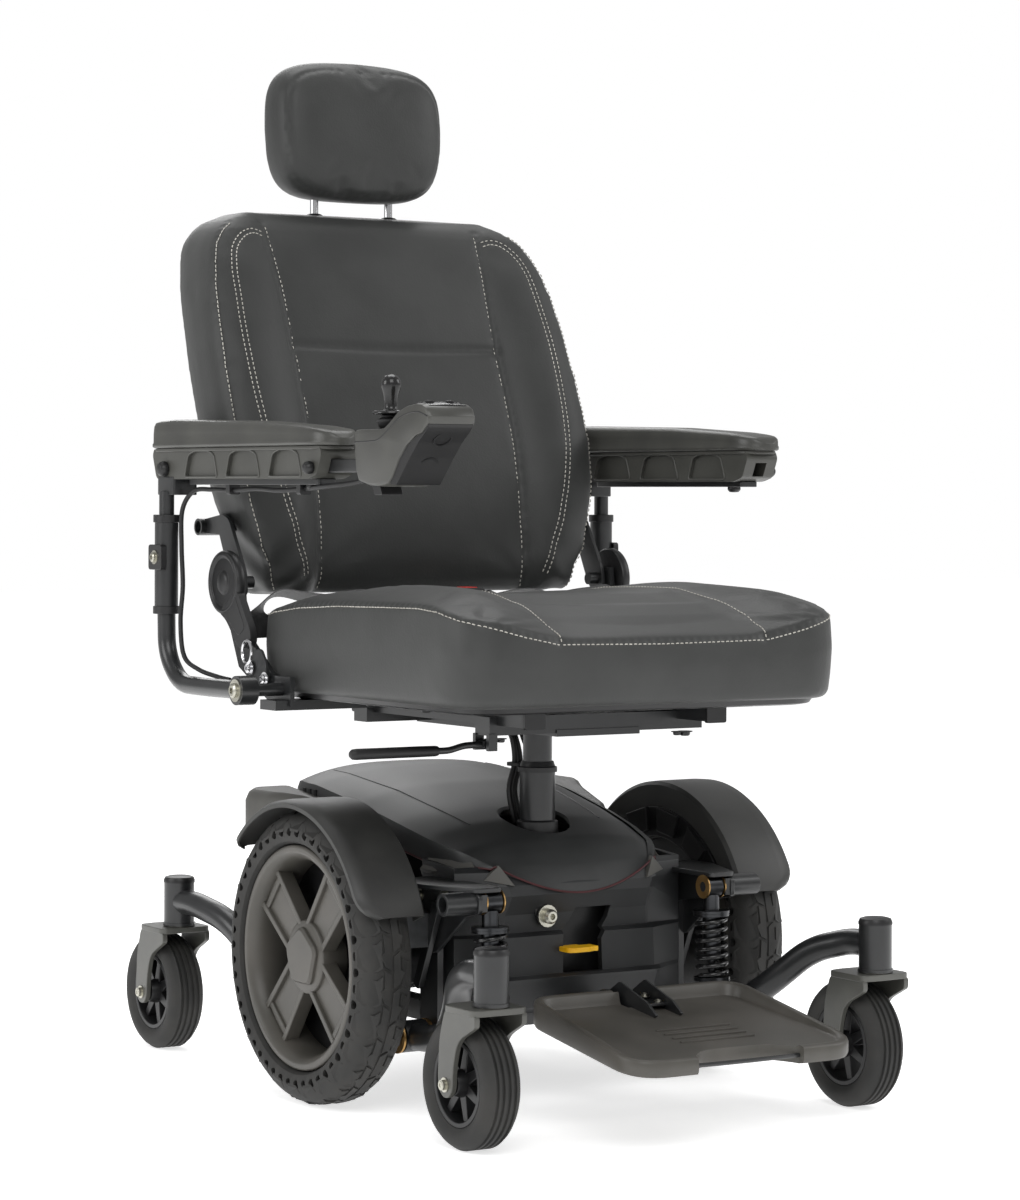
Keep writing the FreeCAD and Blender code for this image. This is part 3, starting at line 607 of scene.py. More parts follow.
def seatCushion():
    # box cushion with a welt round it and a seam along each side panel
    half, front, back = seat["half"], seat["front"], seat["back"]
    plan = roundCorners(oblong(-half, front, half, back),
                        [seat["corner"] * 1.4, seat["corner"] * 1.4, seat["rearCorner"],
                         seat["rearCorner"]], 10)
    dense = []
    for a, b in zip(plan, plan[1:] + plan[:1]):
        a, b = Vector(a), Vector(b)
        parts = max(1, int((b - a).length / 12))
        dense += [a.lerp(b, i / parts) for i in range(parts)]
    middle = Vector((0, (front + back) / 2))
    rings = []
    for height, inset in ((0, 26), (0.0, 10), (0.06, 2), (0.3, -1), (0.6, -3), (0.9, -1), (1.0, 0)):
        ring = []
        for spot in dense:
            inward = (middle - spot).normalized()
            x, y = spot + inward * inset
            top = seatSeamHeight(spot.x, spot.y)
            ring.append((x, y, seat["low"] + (top - seat["low"]) * height))
        rings.append(ring)
    for shrink, rise in ((0.985, 0.30), (0.96, 0.56), (0.92, 0.78), (0.86, 0.93), (0.76, 1), (0.6, 1),
                         (0.4, 1), (0.2, 1), (0.03, 1)):
        ring = []
        for spot in dense:
            x, y = middle + (spot - middle) * shrink
            low = seatSeamHeight(spot.x, spot.y)
            ring.append((x, y, low + (seatTop(x, y) - low) * rise))
        rings.append(ring)
    points, faces = loft(rings)
    cushion = addPiece("seatCushionCover", points, faces, leather, "seat", "leather")
    cushion.parent = None
    welt = [(spot.x, spot.y, seatSeamHeight(spot.x, spot.y)) for spot in dense]
    welt.append(welt[0])
    panels = []
    for sign in (-1, 1):
        route = []
        for i in range(49):
            y = -337 + i * 10
            x = sign * (seat["panelSeam"] - 6 * ease(-320, -200, y))
            z = seatSeamHeight(x, -338) if i == 0 else min(seatTop(x, y),
                                                           seatSeamHeight(x, -338) + (y + 338) * 1.4 + 3)
            route.append((x, y, z))
        panels.append(route)

    def held(point):
        return (point.z < 500 or abs(point.z - seatSeamHeight(point.x, point.y)) < 3 and
                (abs(point.x) > 245 or point.y < -318 or point.y > 146))

    puff(cushion, 5, 3.5, 6, held)
    pressSeams(cushion, [welt], 2.6, 3.6)
    pressSeams(cushion, panels, 3.2, 5)
    soften(cushion)
    paintPanels(cushion, sideLeather, lambda point, normal: point.z < seatSeamHeight(point.x, point.y) - 1
                and (abs(point.x) > 235 or point.y < -300 or point.y > 130))
    dressSoft(cushion, "seat", ("seat_cushion",))
    sewOn("seatCushionStitching", cushion, [(welt, 3.4)] + [(route, 3.0) for route in panels], "seat",
          "leather")
    return cushion


def soften(piece):
    # one level of subdivision rounds what the cloth left
    smoothing = piece.modifiers.new("round", "SUBSURF")
    smoothing.levels = smoothing.render_levels = 1
    applyModifiers(piece)


def dressSoft(piece, body, replaced):
    # puts a finished cover on its body, shaded smooth, and hides the parts it replaces
    piece.data.shade_smooth()
    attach(piece, body)
    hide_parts(*replaced)


backEdge = {"y": [(608, 208), (650, 200), (700, 202), (750, 208), (800, 220), (850, 238), (900, 258),
                  (950, 278),
                  (1000, 300), (1040, 318), (1060, 330), (1080, 339), (1109, 356)],
            "half": [(608, 224), (650, 238), (700, 255), (750, 265), (800, 270), (850, 271), (900, 270),
                     (950, 267),
                     (1000, 262), (1040, 253), (1060, 246), (1080, 232), (1095, 212), (1109, 176)],
            "thick": 98, "panelSeam": 158, "crease": 930, "low": 608, "high": 1109}


def backEdgeY(z):
    return blendCurve(backEdge["y"], z)


def backHalf(z):
    return blendCurve(backEdge["half"], z)


def panelSeamX(z):
    return blendCurve([(608, 156), (730, 156), (840, 157), (930, 157), (1000, 159), (1109, 166)], z)


def backFront(x, z):
    # the front face: a flat middle, a seam, and a side bolster that stands forward
    half = backHalf(z)
    edge = backEdgeY(z)
    seam = panelSeamX(z)
    depth = blendCurve([(608, 6), (700, 12), (930, 12), (1109, 3)], z)
    x = abs(x)
    if x <= seam:
        return edge + depth - 2.5 * (1 - (x / seam) ** 2)
    t = (x - seam) / max(1, half - seam)
    crest = blendCurve([(608, 12), (700, 19), (930, 15), (1060, 7), (1109, 3)], z)
    return edge + depth * (1 - t) - crest * math.sin(math.pi * min(1, t * 1.02)) ** 0.8 * (1 - 0.25 * t)


def backCushion():
    # one cover with side bolsters, a crease and double rows of stitches
    low, high = backEdge["low"], backEdge["high"]
    rings = []
    heights = [low + 2] + [low + 10 + i * (high - low - 24) / 46 for i in range(47)] + [high - 6, high - 1]
    for z in heights:
        half = backHalf(z)
        roll = 14 * ease(high - 26, high, z) ** 1.6 + 10 * ease(low + 26, low, z) ** 1.6
        ring = []
        for step in range(-22, 23):
            x = half * math.sin(step / 22 * math.pi / 2 * 0.97)
            ring.append((x * (1 - roll / 700), backFront(x, z) + roll * 0.9, z))
        thick = backEdge["thick"] - 10 * ease(1040, high, z)
        edge = backEdgeY(z)
        deep = thick + 24 * ease(640, 740, z)
        side = [(half, edge + 6), (half + 1.5, edge + 34), (half, edge + 0.68 * deep),
                (half - 6, edge + deep - 12), (half - 24, edge + deep)]
        across = [(half * k, edge + thick + 3 * (1 - k * k)) for k in (0.68, 0.35, 0, -0.35, -0.68)]
        rearSide = [(-x, y) for x, y in reversed(side)]
        ring += [(x, y - roll * 0.6 * (y > edge + 40), z) for x, y in side + across + rearSide]
        rings.append(ring)
    points, faces = loft(rings)
    cushion = addPiece("backCushionCover", points, faces, leather, "back", "leather")
    cushion.parent = None
    edges, panels, doubles, rears = [], [], [], []
    for sign in (-1, 1):
        levels = [low + 6 + i * 8 for i in range(int((high - low - 10) / 8))]
        edges.append([(sign * backHalf(z), backEdgeY(z) + 4, z) for z in levels])
        rears.append([(sign * (backHalf(z) - 5),
                       backEdgeY(z) + backEdge["thick"] + 24 * ease(640, 740, z) - 12, z) for z in levels])
        panels.append([(sign * panelSeamX(z), backFront(panelSeamX(z), z), z) for z in levels])
        route = [(1078, 170), (1081, 185), (1074, 203), (1056, 219), (1030, 227), (1000, 230), (940, 234),
                 (870, 233), (800, 226), (730, 210), (670, 192), (630, 180)]
        doubles.append([tuple(p) for p in smoothPath([(sign * x, backFront(x, z), z) for z, x in route],
                                                     10)])
    topEdge = [(x, backEdgeY(high) + 4, high - 3) for x in range(-170, 171, 10)]
    crease = [(x, backFront(x, backEdge["crease"]), backEdge["crease"] + 4 * (abs(x) / 158) ** 2 - 2)
              for x in range(-156, 157, 4)]

    def held(point):
        edge = backEdgeY(point.z)
        nearSeam = abs(abs(point.x) - panelSeamX(point.z)) < 4 and point.y < edge + 30
        nearCrease = abs(point.z - backEdge["crease"]) < 4 and abs(point.x) < 158 and point.y < edge + 30
        return nearSeam or nearCrease or point.y > edge + 80 or point.z < low + 6

    puff(cushion, 5.5, 3.5, 7, held)
    pressSeams(cushion, panels, 3.4, 5)
    pressSeams(cushion, [crease], 3.6, 5)
    pressSeams(cushion, edges + [topEdge], 2.2, 3.5)
    pressSeams(cushion, doubles, 1.2, 3.5)
    pressSeams(cushion, rears, 2, 3.5)
    gather(cushion)
    soften(cushion)
    paintPanels(cushion, sideLeather, lambda point,
                normal: abs(normal.x) > 0.75 and point.y > backEdgeY(point.z) + 3)
    dressSoft(cushion, "back", ("back_cushion",))
    runs = [(edges[0], 4.5), (edges[1], -4.5), (panels[0], 3.6), (panels[1], -3.6)]
    runs += [(route, offset) for route in doubles for offset in (-3.4, 3.4)]
    sewOn("backCushionStitching", cushion, runs, "back", "leather")
    return cushion


def gather(cushion):
    # pulled folds low on the side bolsters, where the cover is drawn round the hinge
    for vertex in cushion.data.vertices:
        point = (vertex.co - axleLine) * 1000
        if point.z > 760 or abs(point.x) < 165:
            continue
        amount = ease(760, 640, point.z) * ease(165, 205, abs(point.x))
        fold = math.sin((point.z * 0.8 + abs(point.x) * 0.9 - point.y * 0.7) / 9.5)
        vertex.co += vertex.normal * 0.0022 * amount * fold


headRest = {"half": 127, "low": 1130, "high": 1316, "front": 353, "rear": 441}


def headRestPad():
    # a pillow with a pressed seam behind its front face
    half, low, high = headRest["half"], headRest["low"], headRest["high"]
    middle = (low + high) / 2 - 4
    tall = (high - low) / 2
    rings = []
    depths = [(0.0, 0.62), (0.02, 0.74), (0.07, 0.86), (0.16, 0.945), (0.3, 0.985), (0.5, 1.0), (0.7, 0.99),
              (0.84, 0.95), (0.93, 0.88), (0.98, 0.78), (1.0, 0.66)]
    for depth, scale in depths:
        ring = []
        for step in range(72):
            across, up = squareRound(2 * math.pi * step / 72, 0.52, 0.44)
            x, z = half * scale * across, tall * scale * up
            narrow = 1 - 0.07 * ease(0, -tall, z)
            lean = 0.17 * (z / tall) * 60 + 9 * (z / tall) ** 2
            front, rear = headRest["front"], headRest["rear"]
            y = front + (rear - front) * depth + lean * (1 - depth) * 0.8
            ring.append((x * narrow, min(y, headRest["rear"]), middle + z + 4))
        rings.append(ring)
    points, faces = loft(rings)
    pad = addPiece("headrestCover", points, faces, leather, "headrest", "leather")
    pad.parent = None
    puff(pad, 4.5, 3.5, 5, lambda point: point.y > headRest["rear"] - 6)
    seam = []
    for step in range(73):
        across, up = squareRound(2 * math.pi * step / 72, 0.52, 0.44)
        seam.append((half * 0.93 * across, headRest["front"] + 14, middle + 4 + tall * 0.93 * up))
    pressSeams(pad, [[tuple(spot) for spot, _ in onCover(pad, seam, 0)]], 2.0, 3.2)
    soften(pad)
    dressSoft(pad, "headrest", ("headrest_pad",))


seatCushion()
backCushion()
headRestPad()
print("upholstery sewn")


wheel = {"x": 272, "z": 178, "radius": 178, "half": 37.5, "holes": 50, "blocks": 26}


def tyreRadius(across):
    # outer profile of the tread from its middle out to the sidewall
    return blendCurve([(0, 175.4), (16, 174.8), (26, 171), (33, 163), (37.5, 150)], abs(across))


def treadBlock(centreX, outline, around):
    # a raised rubber block laid on the tread; outline is (across, along the tread)
    rings = []
    for lift in (-1.5, 2.3):
        ring = []
        for across, along in outline:
            radius = tyreRadius(across) + lift
            angle = around + along / wheel["radius"]
            ring.append((centreX + across, radius * math.cos(angle), wheel["z"] + radius * math.sin(angle)))
        rings.append(ring)
    return loft(rings)


def driveTyre(side, sign):
    # airless tyre with a ring of drilled holes and two rows of tread blocks a side
    x, z, half = sign * wheel["x"], wheel["z"], wheel["half"]
    section = [(-28, 137), (-34, 140), (-half, 150), (-33, 163), (-26, 171), (-16, 174.8), (0, 175.4),
               (16, 174.8), (26, 171), (33, 163), (half, 150), (34, 140), (28, 137)]
    points, faces = lathe(section, (x, 0, z), "x", 120)
    tyre = addPiece(f"driveTyre.{side}", points, faces, rubber, f"wheel_{side}", "tyre",
                    (f"drive_tyre_{side}",))
    drills = []
    for i in range(wheel["holes"]):
        angle = 2 * math.pi * i / wheel["holes"]
        centre = (x, 151.5 * math.cos(angle), z + 151.5 * math.sin(angle))
        drills.append(lathe(ringSection(-60, 0.01, 60, 5.4), centre, "x", 12))
    cutAway(tyre, drills)
    tyre.data.shade_smooth()
    tyre.data.set_sharp_from_angle(angle=math.radians(40))
    blocks = []
    pitch = 2 * math.pi * wheel["radius"] / wheel["blocks"]
    for i in range(wheel["blocks"]):
        around = 2 * math.pi * i / wheel["blocks"]
        for way in (-1, 1):
            turn = around + (0.5 * 2 * math.pi / wheel["blocks"] if way > 0 else 0)
            shoulder = [(13, 3), (20, 8), (34, 6), (36.4, 12), (36.4, pitch - 8), (33, pitch - 3),
                        (20, pitch - 2), (13, pitch - 6)]
            inner = [(1.5, 2), (10.5, -4), (10.5, pitch * 0.42), (16, pitch * 0.5), (10.5, pitch - 8),
                     (1.5, pitch - 3)]
            for outline in (shoulder, inner):
                blocks.append(treadBlock(x, [(way * across, along) for across, along in outline], turn))
    addParts(f"driveTread.{side}", blocks, rubber, f"wheel_{side}", "tyre", bevel=0.8)


def spokeFrame(x, z, angle):
    # a point on a spoke from its distance out, its place across and its depth
    c, s = math.cos(angle), math.sin(angle)
    return lambda out, across, depth: (x + depth, out * c - across * s, z + out * s + across * c)


def spokeSlab(at, outline, low, high):
    return loft([[at(out, across, depth) for out, across in outline] for depth in (low, high)])


def driveRim(side, sign):
    # four ribbed spokes in a ring, a dark disc behind them and a five-sided hub plate
    x, z = sign * wheel["x"], wheel["z"]
    body = f"wheel_{side}"
    band = [(-29, 119), (-29, 135.6), (29, 135.6), (31, 133), (31, 127), (27, 122.5), (20, 119), (12, 117),
            (-12, 116)]
    shapes = [lathe(sided(sign, band), (x, 0, z), "x", 120)]
    shapes.append(lathe([(sign * a, r) for a,
                         r in ((-18, 14), (-18, 40), (10, 46), (19, 44), (21, 38), (21, 14))],
                        (x, 0, z), "x", 60))
    for i in range(4):
        at = spokeFrame(x, z, math.radians(40 + 90 * i))
        web = [(20, -24), (118, -31), (121, 0), (118, 31), (20, 24)]
        shapes.append(spokeSlab(at, web, sign * 2, sign * 15))
        for way in (-1, 1):
            ridge = [(26, way * 18), (119, way * 24), (119, way * 32), (26, way * 25)]
            shapes.append(spokeSlab(at, ridge, 0, sign * 20))
        lip = oblong(104, -26, 112, 26)
        shapes.append(spokeSlab(at, lip, sign * 6, sign * 18.5))
    addParts(f"driveRim.{side}", shapes, rimPlastic, body, "rim_plastic", (f"drive_rim_{side}",), bevel=1.6)
    backing = [(-25, 14), (-25, 121), (-22, 121), (-21, 80), (-19, 60), (-19, 14)]
    addPiece(f"wheelBacking.{side}", *lathe(sided(sign, backing), (x, 0, z), "x", 72), blackPlastic, body,
             "rim_plastic")
    plate = []
    for radius, depth in ((39, 19), (39, 24.5), (35.5, 27.5)):
        plate.append([(x + sign * depth, radius * math.cos(a), z + radius * math.sin(a))
                      for a in (math.radians(90 + 72 * i) for i in range(5))])
    rounded = [[(ring[0][0], y, zz) for y, zz in roundCorners([(p[1], p[2]) for p in ring], 9)]
               for ring in plate]
    addPiece(f"hubPlate.{side}", *loft(rounded), rimPlastic, body, "rim_plastic", bevel=0.8)


fender = {"radius": 191, "first": 41, "last": 160, "steps": 60, "frontCorner": 34, "rearCorner": 20}


def cornerCut(radius, gone):
    # how far a rounded corner stands back after gone millimetres of edge
    return radius - math.sqrt(max(0, radius**2 - (radius - min(radius, gone + 1)) ** 2))


def fenderShell(side, sign):
    # an arched shell with rounded corners and a ribbed liner under it
    z, outer = wheel["z"], fender["radius"]
    rings = []
    first, last, steps = fender["first"], fender["last"], fender["steps"]
    for step in range(steps + 1):
        angle = math.radians(first + (last - first) * step / steps)
        left = (last - first) * (1 - step / steps) * math.pi / 180 * outer
        gone = (last - first) * (step / steps) * math.pi / 180 * outer
        cutOut = cornerCut(fender["frontCorner"], left) + cornerCut(fender["rearCorner"], gone)
        taper = 7 * ease(0.45, 1, step / steps)
        section = [(228, outer - 36 + taper), (228, outer - 5), (232, outer - 0.6), (244, outer),
                   (296 - cutOut, outer),
                   (311 - cutOut, outer - 1.2), (316.5 - cutOut, outer - 5), (316.5 - cutOut, outer - 10),
                   (313.5 - cutOut, outer - 10), (313 - cutOut, outer - 6), (308 - cutOut, outer - 4),
                   (296 - cutOut, outer - 3.2),
                   (244, outer - 3.2), (232, outer - 6), (231, outer - 36 + taper)]
        c, s = math.cos(angle), math.sin(angle)
        rings.append([(sign * across, radius * c, z + radius * s) for across, radius in section])
    addPiece(f"fenderShell.{side}", *loft(rings), fenderPlastic, f"motor_{side}", "fender_plastic",
             (f"fender_{side}",), angle=40)
    inner = []
    for start in (66, 92, 118):
        wall = roundCorners(ringSection(start, 128, start + 17, 158), 0)
        ring = [(math.radians(a), r) for a, r in wall]
        inner.append(loft([[(sign * depth, r * math.cos(a), z + r * math.sin(a)) for a, r in ring]
                           for depth in (221, 229)]))
    arch = []
    for step in range(25):
        angle = math.radians(50 + 100 * step / 24)
        arch.append([(sign * depth, r * math.cos(angle), z + r * math.sin(angle))
                     for depth, r in ((226, 120), (226, 158), (229, 158), (229, 120))])
    inner.append(loft(arch))
    addParts(f"fenderLiner.{side}", inner, blackPlastic, f"motor_{side}", "fender_plastic", bevel=1)


caster = {"z": 76, "trail": 42, "places": {"front": (272, -391.5), "rear": (239, 435)}}


def casterWheel(side, sign, end):
    # grooved tyre on a seven-spoke hub
    x, y = caster["places"][end]
    x, y, z = sign * x, y + caster["trail"], caster["z"]
    body = f"{end}_caster_{side}"
    section = [(-19, 50), (-22.5, 55), (-24, 61), (-22.5, 68), (-18.5, 72.4), (-15, 74)]
    for groove in (-11.5, -4, 4, 11.5):
        section += [(groove - 2.2, 75.6), (groove - 1.2, 73.2), (groove + 1.2, 73.2), (groove + 2.2, 75.6)]
    section += [(-a, r) for a, r in reversed(section[:6])]
    addPiece(f"{end}CasterTyre.{side}", *lathe(section, (x, y, z), "x", 72), rubber, body, "tyre",
             (f"{end}_caster_tyre_{side}",))
    rim = [(-19.5, 44), (-19.5, 49.6), (19.5, 49.6), (19.5, 44), (15, 42.5), (-15, 42.5)]
    boss = [(-25, 6.5), (-25, 13), (-14, 16), (14, 16), (25, 13), (25, 6.5)]
    shapes = [lathe(rim, (x, y, z), "x", 60), lathe(boss, (x, y, z), "x", 32)]
    for i in range(7):
        at = spokeFrame(x, z, 2 * math.pi * i / 7)
        web = [(13, -6.5), (44, -4.5), (44, 4.5), (13, 6.5)]
        rings = [[at(o, a, depth) for o, a in web] for depth in (-13, 13)]
        shapes.append(loft([[(px, py + y, pz) for px, py, pz in ring] for ring in rings]))
    addParts(f"{end}CasterHub.{side}", shapes, blackPlastic, body, "rim_plastic",
             (f"{end}_caster_hub_{side}",), bevel=1)


def casterFork(side, sign, end):
    # crown, two bent legs, stem bearing and axle bolt
    x, y = caster["places"][end]
    x = sign * x
    axle = y + caster["trail"]
    body = f"{end}_fork_{side}"
    shapes = []
    crown = roundCorners([(x - 36, y - 22), (x + 36, y - 22), (x + 36, axle + 2), (x + 20, axle + 8),
                          (x - 20, axle + 8), (x - 36, axle + 2)], 11)
    shapes.append(slab("xy", crown, 158.5, 166))
    for way in (-1, 1):
        leg = [(y - 21, 160), (axle + 2, 160), (axle + 13, 128), (axle + 16, 84), (axle + 14, 70),
               (axle + 4, 61),
               (axle - 8, 62), (axle - 15, 72), (axle - 17, 100), (axle - 26, 128), (y - 21, 147)]
        low, high = x + way * 27.6, x + way * 34.6
        shapes.append(slab("yz", roundCorners(leg, [4, 6, 14, 14, 12, 10, 10, 12, 20, 16, 4]), low, high))
    addParts(f"{end}Fork.{side}", shapes, forkSteel, body, "painted_steel", (f"{end}_fork_{side}",),
             bevel=1.2)
    stem = lathe(ringSection(-1, 8, 2, 17), (x, y, 165.5), "z", 32)
    addPiece(f"{end}StemBearing.{side}", *stem, zinc, body, "painted_steel")
    heads = [bolt((x + way * 34.6, axle, 76), "x", 5.6, 6, way) for way in (-1, 1)]
    heads.append(lathe(ringSection(-40, 0.01, 40, 5.8), (x, axle, 76), "x", 20))
    addParts(f"{end}AxleBolt.{side}", heads, zinc, body, "painted_steel")


def barrelCap(side, sign, end):
    # plastic cap over the stem nut, and the tube's welded collar
    x, y = caster["places"][end]
    x = sign * x
    cap = lathe([(0, 0.01), (0, 20.6), (3, 20.6), (7, 18.8), (8.5, 14), (8.8, 0.01)], (x, y, 223.8), "z",
                40)
    addPiece(f"{end}BarrelCap.{side}", *cap, blackPlastic, f"{end}_arm_{side}", "painted_steel")
    ring = lathe(ringSection(0, 20.1, 4, 21.2), (x, y, 167), "z", 40)
    addPiece(f"{end}BarrelLip.{side}", *ring, coatedSteel, f"{end}_arm_{side}", "painted_steel")


shockLine = {"x": 160, "top": (-210, 258), "low": (-214, 124)}


def coilSpring(side, sign):
    # a wire spring coiled between the shock body and its rod
    x = sign * shockLine["x"]
    top = Vector((x, *shockLine["top"]))
    down = (Vector((x, *shockLine["low"])) - top).normalized()
    across = Vector((1, 0, 0))
    third = down.cross(across)
    path = []
    turns, steps = 6.5, 26
    for step in range(int(turns * steps) + 1):
        angle = 2 * math.pi * step / steps
        along = 39 + 69 * step / (turns * steps)
        path.append(top + down * along + across * 17.6 * math.cos(angle) + third * 17.6 * math.sin(angle))
    spring = addPiece(f"coilSpring.{side}", *pipe(path, 3.1, 8), springWire, None, "spring_steel",
                      (f"shock_spring_{side}",), angle=80)
    tuple(place(top + down * 40))
    tuple(place(top + down * 107))
    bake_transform(spring)
    ring = []
    for low, high, radius in ((29, 33, 22.5), (33.5, 36.5, 21)):
        ring.append(pipe([top + down * low, top + down * high], radius, 32))
    addParts(f"preloadRing.{side}", ring, damperSteel, f"shock_{side}", "damper_steel", bevel=0.6)
    washers = []
    for depth in (-12.5, 11.5):
        washers.append(lathe(ringSection(depth, 6.2, depth + 1.6, 14.5), tuple(top), "x", 28))
    addParts(f"shockWashers.{side}", washers, bronze, f"shock_{side}", "damper_steel")


def pivotTrim(side, sign):
    # bushes, washers and bolt heads where the arms turn on the frame
    rings = []
    for y, z, radius in ((-104, 222, 17), (-105, 90, 19.6), (120, 100, 19.6)):
        for depth in (sign * 184.4, sign * 232) if z > 200 else (sign * 184.4, sign * 224):
            rings.append(lathe(ringSection(-1.3, 8.4, 1.3, radius), (depth, y, z), "x", 36))
    addParts(f"pivotWashers.{side}", rings, bronze, "base", "painted_steel")
    heads = [bolt((sign * 228, y, z), "x", 7.5, 5, sign) for y, z in ((-105, 90), (120, 100))]
    addParts(f"pivotBolts.{side}", heads, zinc, "base", "painted_steel")
    tube = lathe(ringSection(0, 9, 44, 13.5), (sign * 182 - (44 if sign < 0 else 0), *places["crossTube"]),
                 "x", 32)
    addPiece(f"shockCrossTube.{side}", *tube, coatedSteel, "base", "painted_steel", bevel=0.8)


for side, sign in sides.items():
    driveTyre(side, sign)
    driveRim(side, sign)
    fenderShell(side, sign)
    coilSpring(side, sign)
    pivotTrim(side, sign)
    for end in ("front", "rear"):
        casterWheel(side, sign, end)
        casterFork(side, sign, end)
        barrelCap(side, sign, end)
print("wheels and suspension built")


def noseShell():
    # faceted nose: the brow hangs forward over a recess, with a ledge and a sill below
    profile = [(112, -150, 0.98), (120, -162, 0.98), (150, -168, 1), (156, -171, 1), (160, -164, 1),
               (206, -161, 1),
               (210, -150, 0.97), (232, -153, 0.95), (256, -165, 0.93), (268, -162, 0.98),
               (284, -150, 1.02), (290, -138, 1.04)]
    rings = []
    for z, front, spread in profile:
        half = 116 * spread
        outer = [(-164, -62), (-164, -136), (-half, front + 4), (-half + 8, front), (half - 8, front),
                 (half, front + 4),
                 (164, -136), (164, -62)]
        inner = [(158, -62), (158, -130), (half - 4, front + 9), (-half + 4, front + 9), (-158, -130),
                 (-158, -62)]
        rings.append([(x, y, z + (6 * ease(-120, -62, y) if z > 270 else 0)) for x, y in outer + inner])
    nose = addPiece("noseShell", *loft(rings), shellPlastic, "base", "shell_plastic", ("base_shell",),
                    angle=18)
    window = [(-26, 159), (31, 159), (31, 197), (46, 222), (49, 236), (-2, 236), (-10, 220), (-24, 205)]
    cutAway(nose, [slab("xz", window, -190, -140), slab("xz", oblong(-34, 108, 34, 126), -190, -60)])
    softenEdges(nose, 1.6, 18)
    facets = []
    for sign in (-1, 1):
        corners = [(sign * 131, -150, 275), (sign * 112, -154, 293), (sign * 96, -166, 268)]
        facets.append(loft([corners, [(x * 0.99, y + 7, z) for x, y, z in corners]]))
        cheek = [(sign * 166.5, -60, 284), (sign * 166.5, -94, 284), (sign * 134, -134, 290),
                 (sign * 134, -128, 296),
                 (sign * 160, -70, 298)]
        facets.append(loft([cheek, [(x * 0.97, y + 3, z - 9) for x, y, z in cheek]]))
    addParts("noseFacets", facets, tailPlastic, "base", "shell_plastic", bevel=0.8)
    inside = slab("xz", oblong(-46, 118, 66, 246), -128, -124)
    addPiece("noseInner", *inside, blackPlastic, "base", "shell_plastic")
    well = [lathe([(0, 12), (0, 15), (-5, 15.5), (-5, 12.5)], (-46, -151, 236), "y", 28)]
    addParts("boltWell", well, blackPlastic, "base", "shell_plastic")
    shapes = [bolt((-46, -158, 229), "y", 9, 13, -1),
              lathe(ringSection(0, 0.01, -3, 12), (-46, -154, 229), "y", 24)]
    addParts("noseBolt", shapes, zinc, "base", "shell_plastic")
    tub = roundCorners(oblong(-165, 50, 165, 274), [2, 2, 30, 30])
    inner = roundCorners(oblong(-160, 55, 160, 269), [2, 2, 26, 26])
    walls = addPiece("batteryTub", *loft([[(x, y, z) for x, y in tub] for z in (128, 134, 309)]),
                     shellPlastic, "base", "shell_plastic")
    cutAway(walls, [loft([[(x, y, z) for x, y in inner] for z in (120, 320)])])
    softenEdges(walls, 1.5)
    ribs = []
    for i in range(9):
        x = -112 + i * 28
        ribs.append(slab("xz", roundCorners(oblong(x - 8, 150, x + 8, 262), 7), 273, 277))
    addParts("tubRibs", ribs, shellPlastic, "base", "shell_plastic", bevel=1)


shroud = {
    "top": [(-168, 257), (-160, 271), (-150, 286), (-132, 303), (-112, 318), (-60, 338), (-20, 348),
            (90, 372), (200, 386),
            (250, 389), (266, 384), (274, 370)],
    "edge": [(-168, 292), (-150, 296), (-112, 307), (-60, 318), (0, 332), (90, 350), (200, 366), (250, 368),
             (274, 360)],
    "skirt": [(-168, 289), (-150, 290), (-112, 291), (-60, 292), (0, 304), (90, 318), (180, 334),
              (274, 348)],
    "half": [(-168, 116), (-150, 124), (-110, 141), (-60, 153), (0, 159), (120, 164), (220, 164),
             (258, 158), (274, 146)],
}


def shroudPoint(k, y):
    # k runs from -1 to 1 across the deck
    width, top, edge = (blendCurve(shroud[key], y) for key in ("half", "top", "edge"))
    front = (1 - ease(-168, -112, y)) * abs(k) ** 2.2
    lift = (edge - top) * abs(k) ** (3 - 1.1 * (1 - ease(-168, -100, y)))
    return width * k, y + 18 * front, top + lift


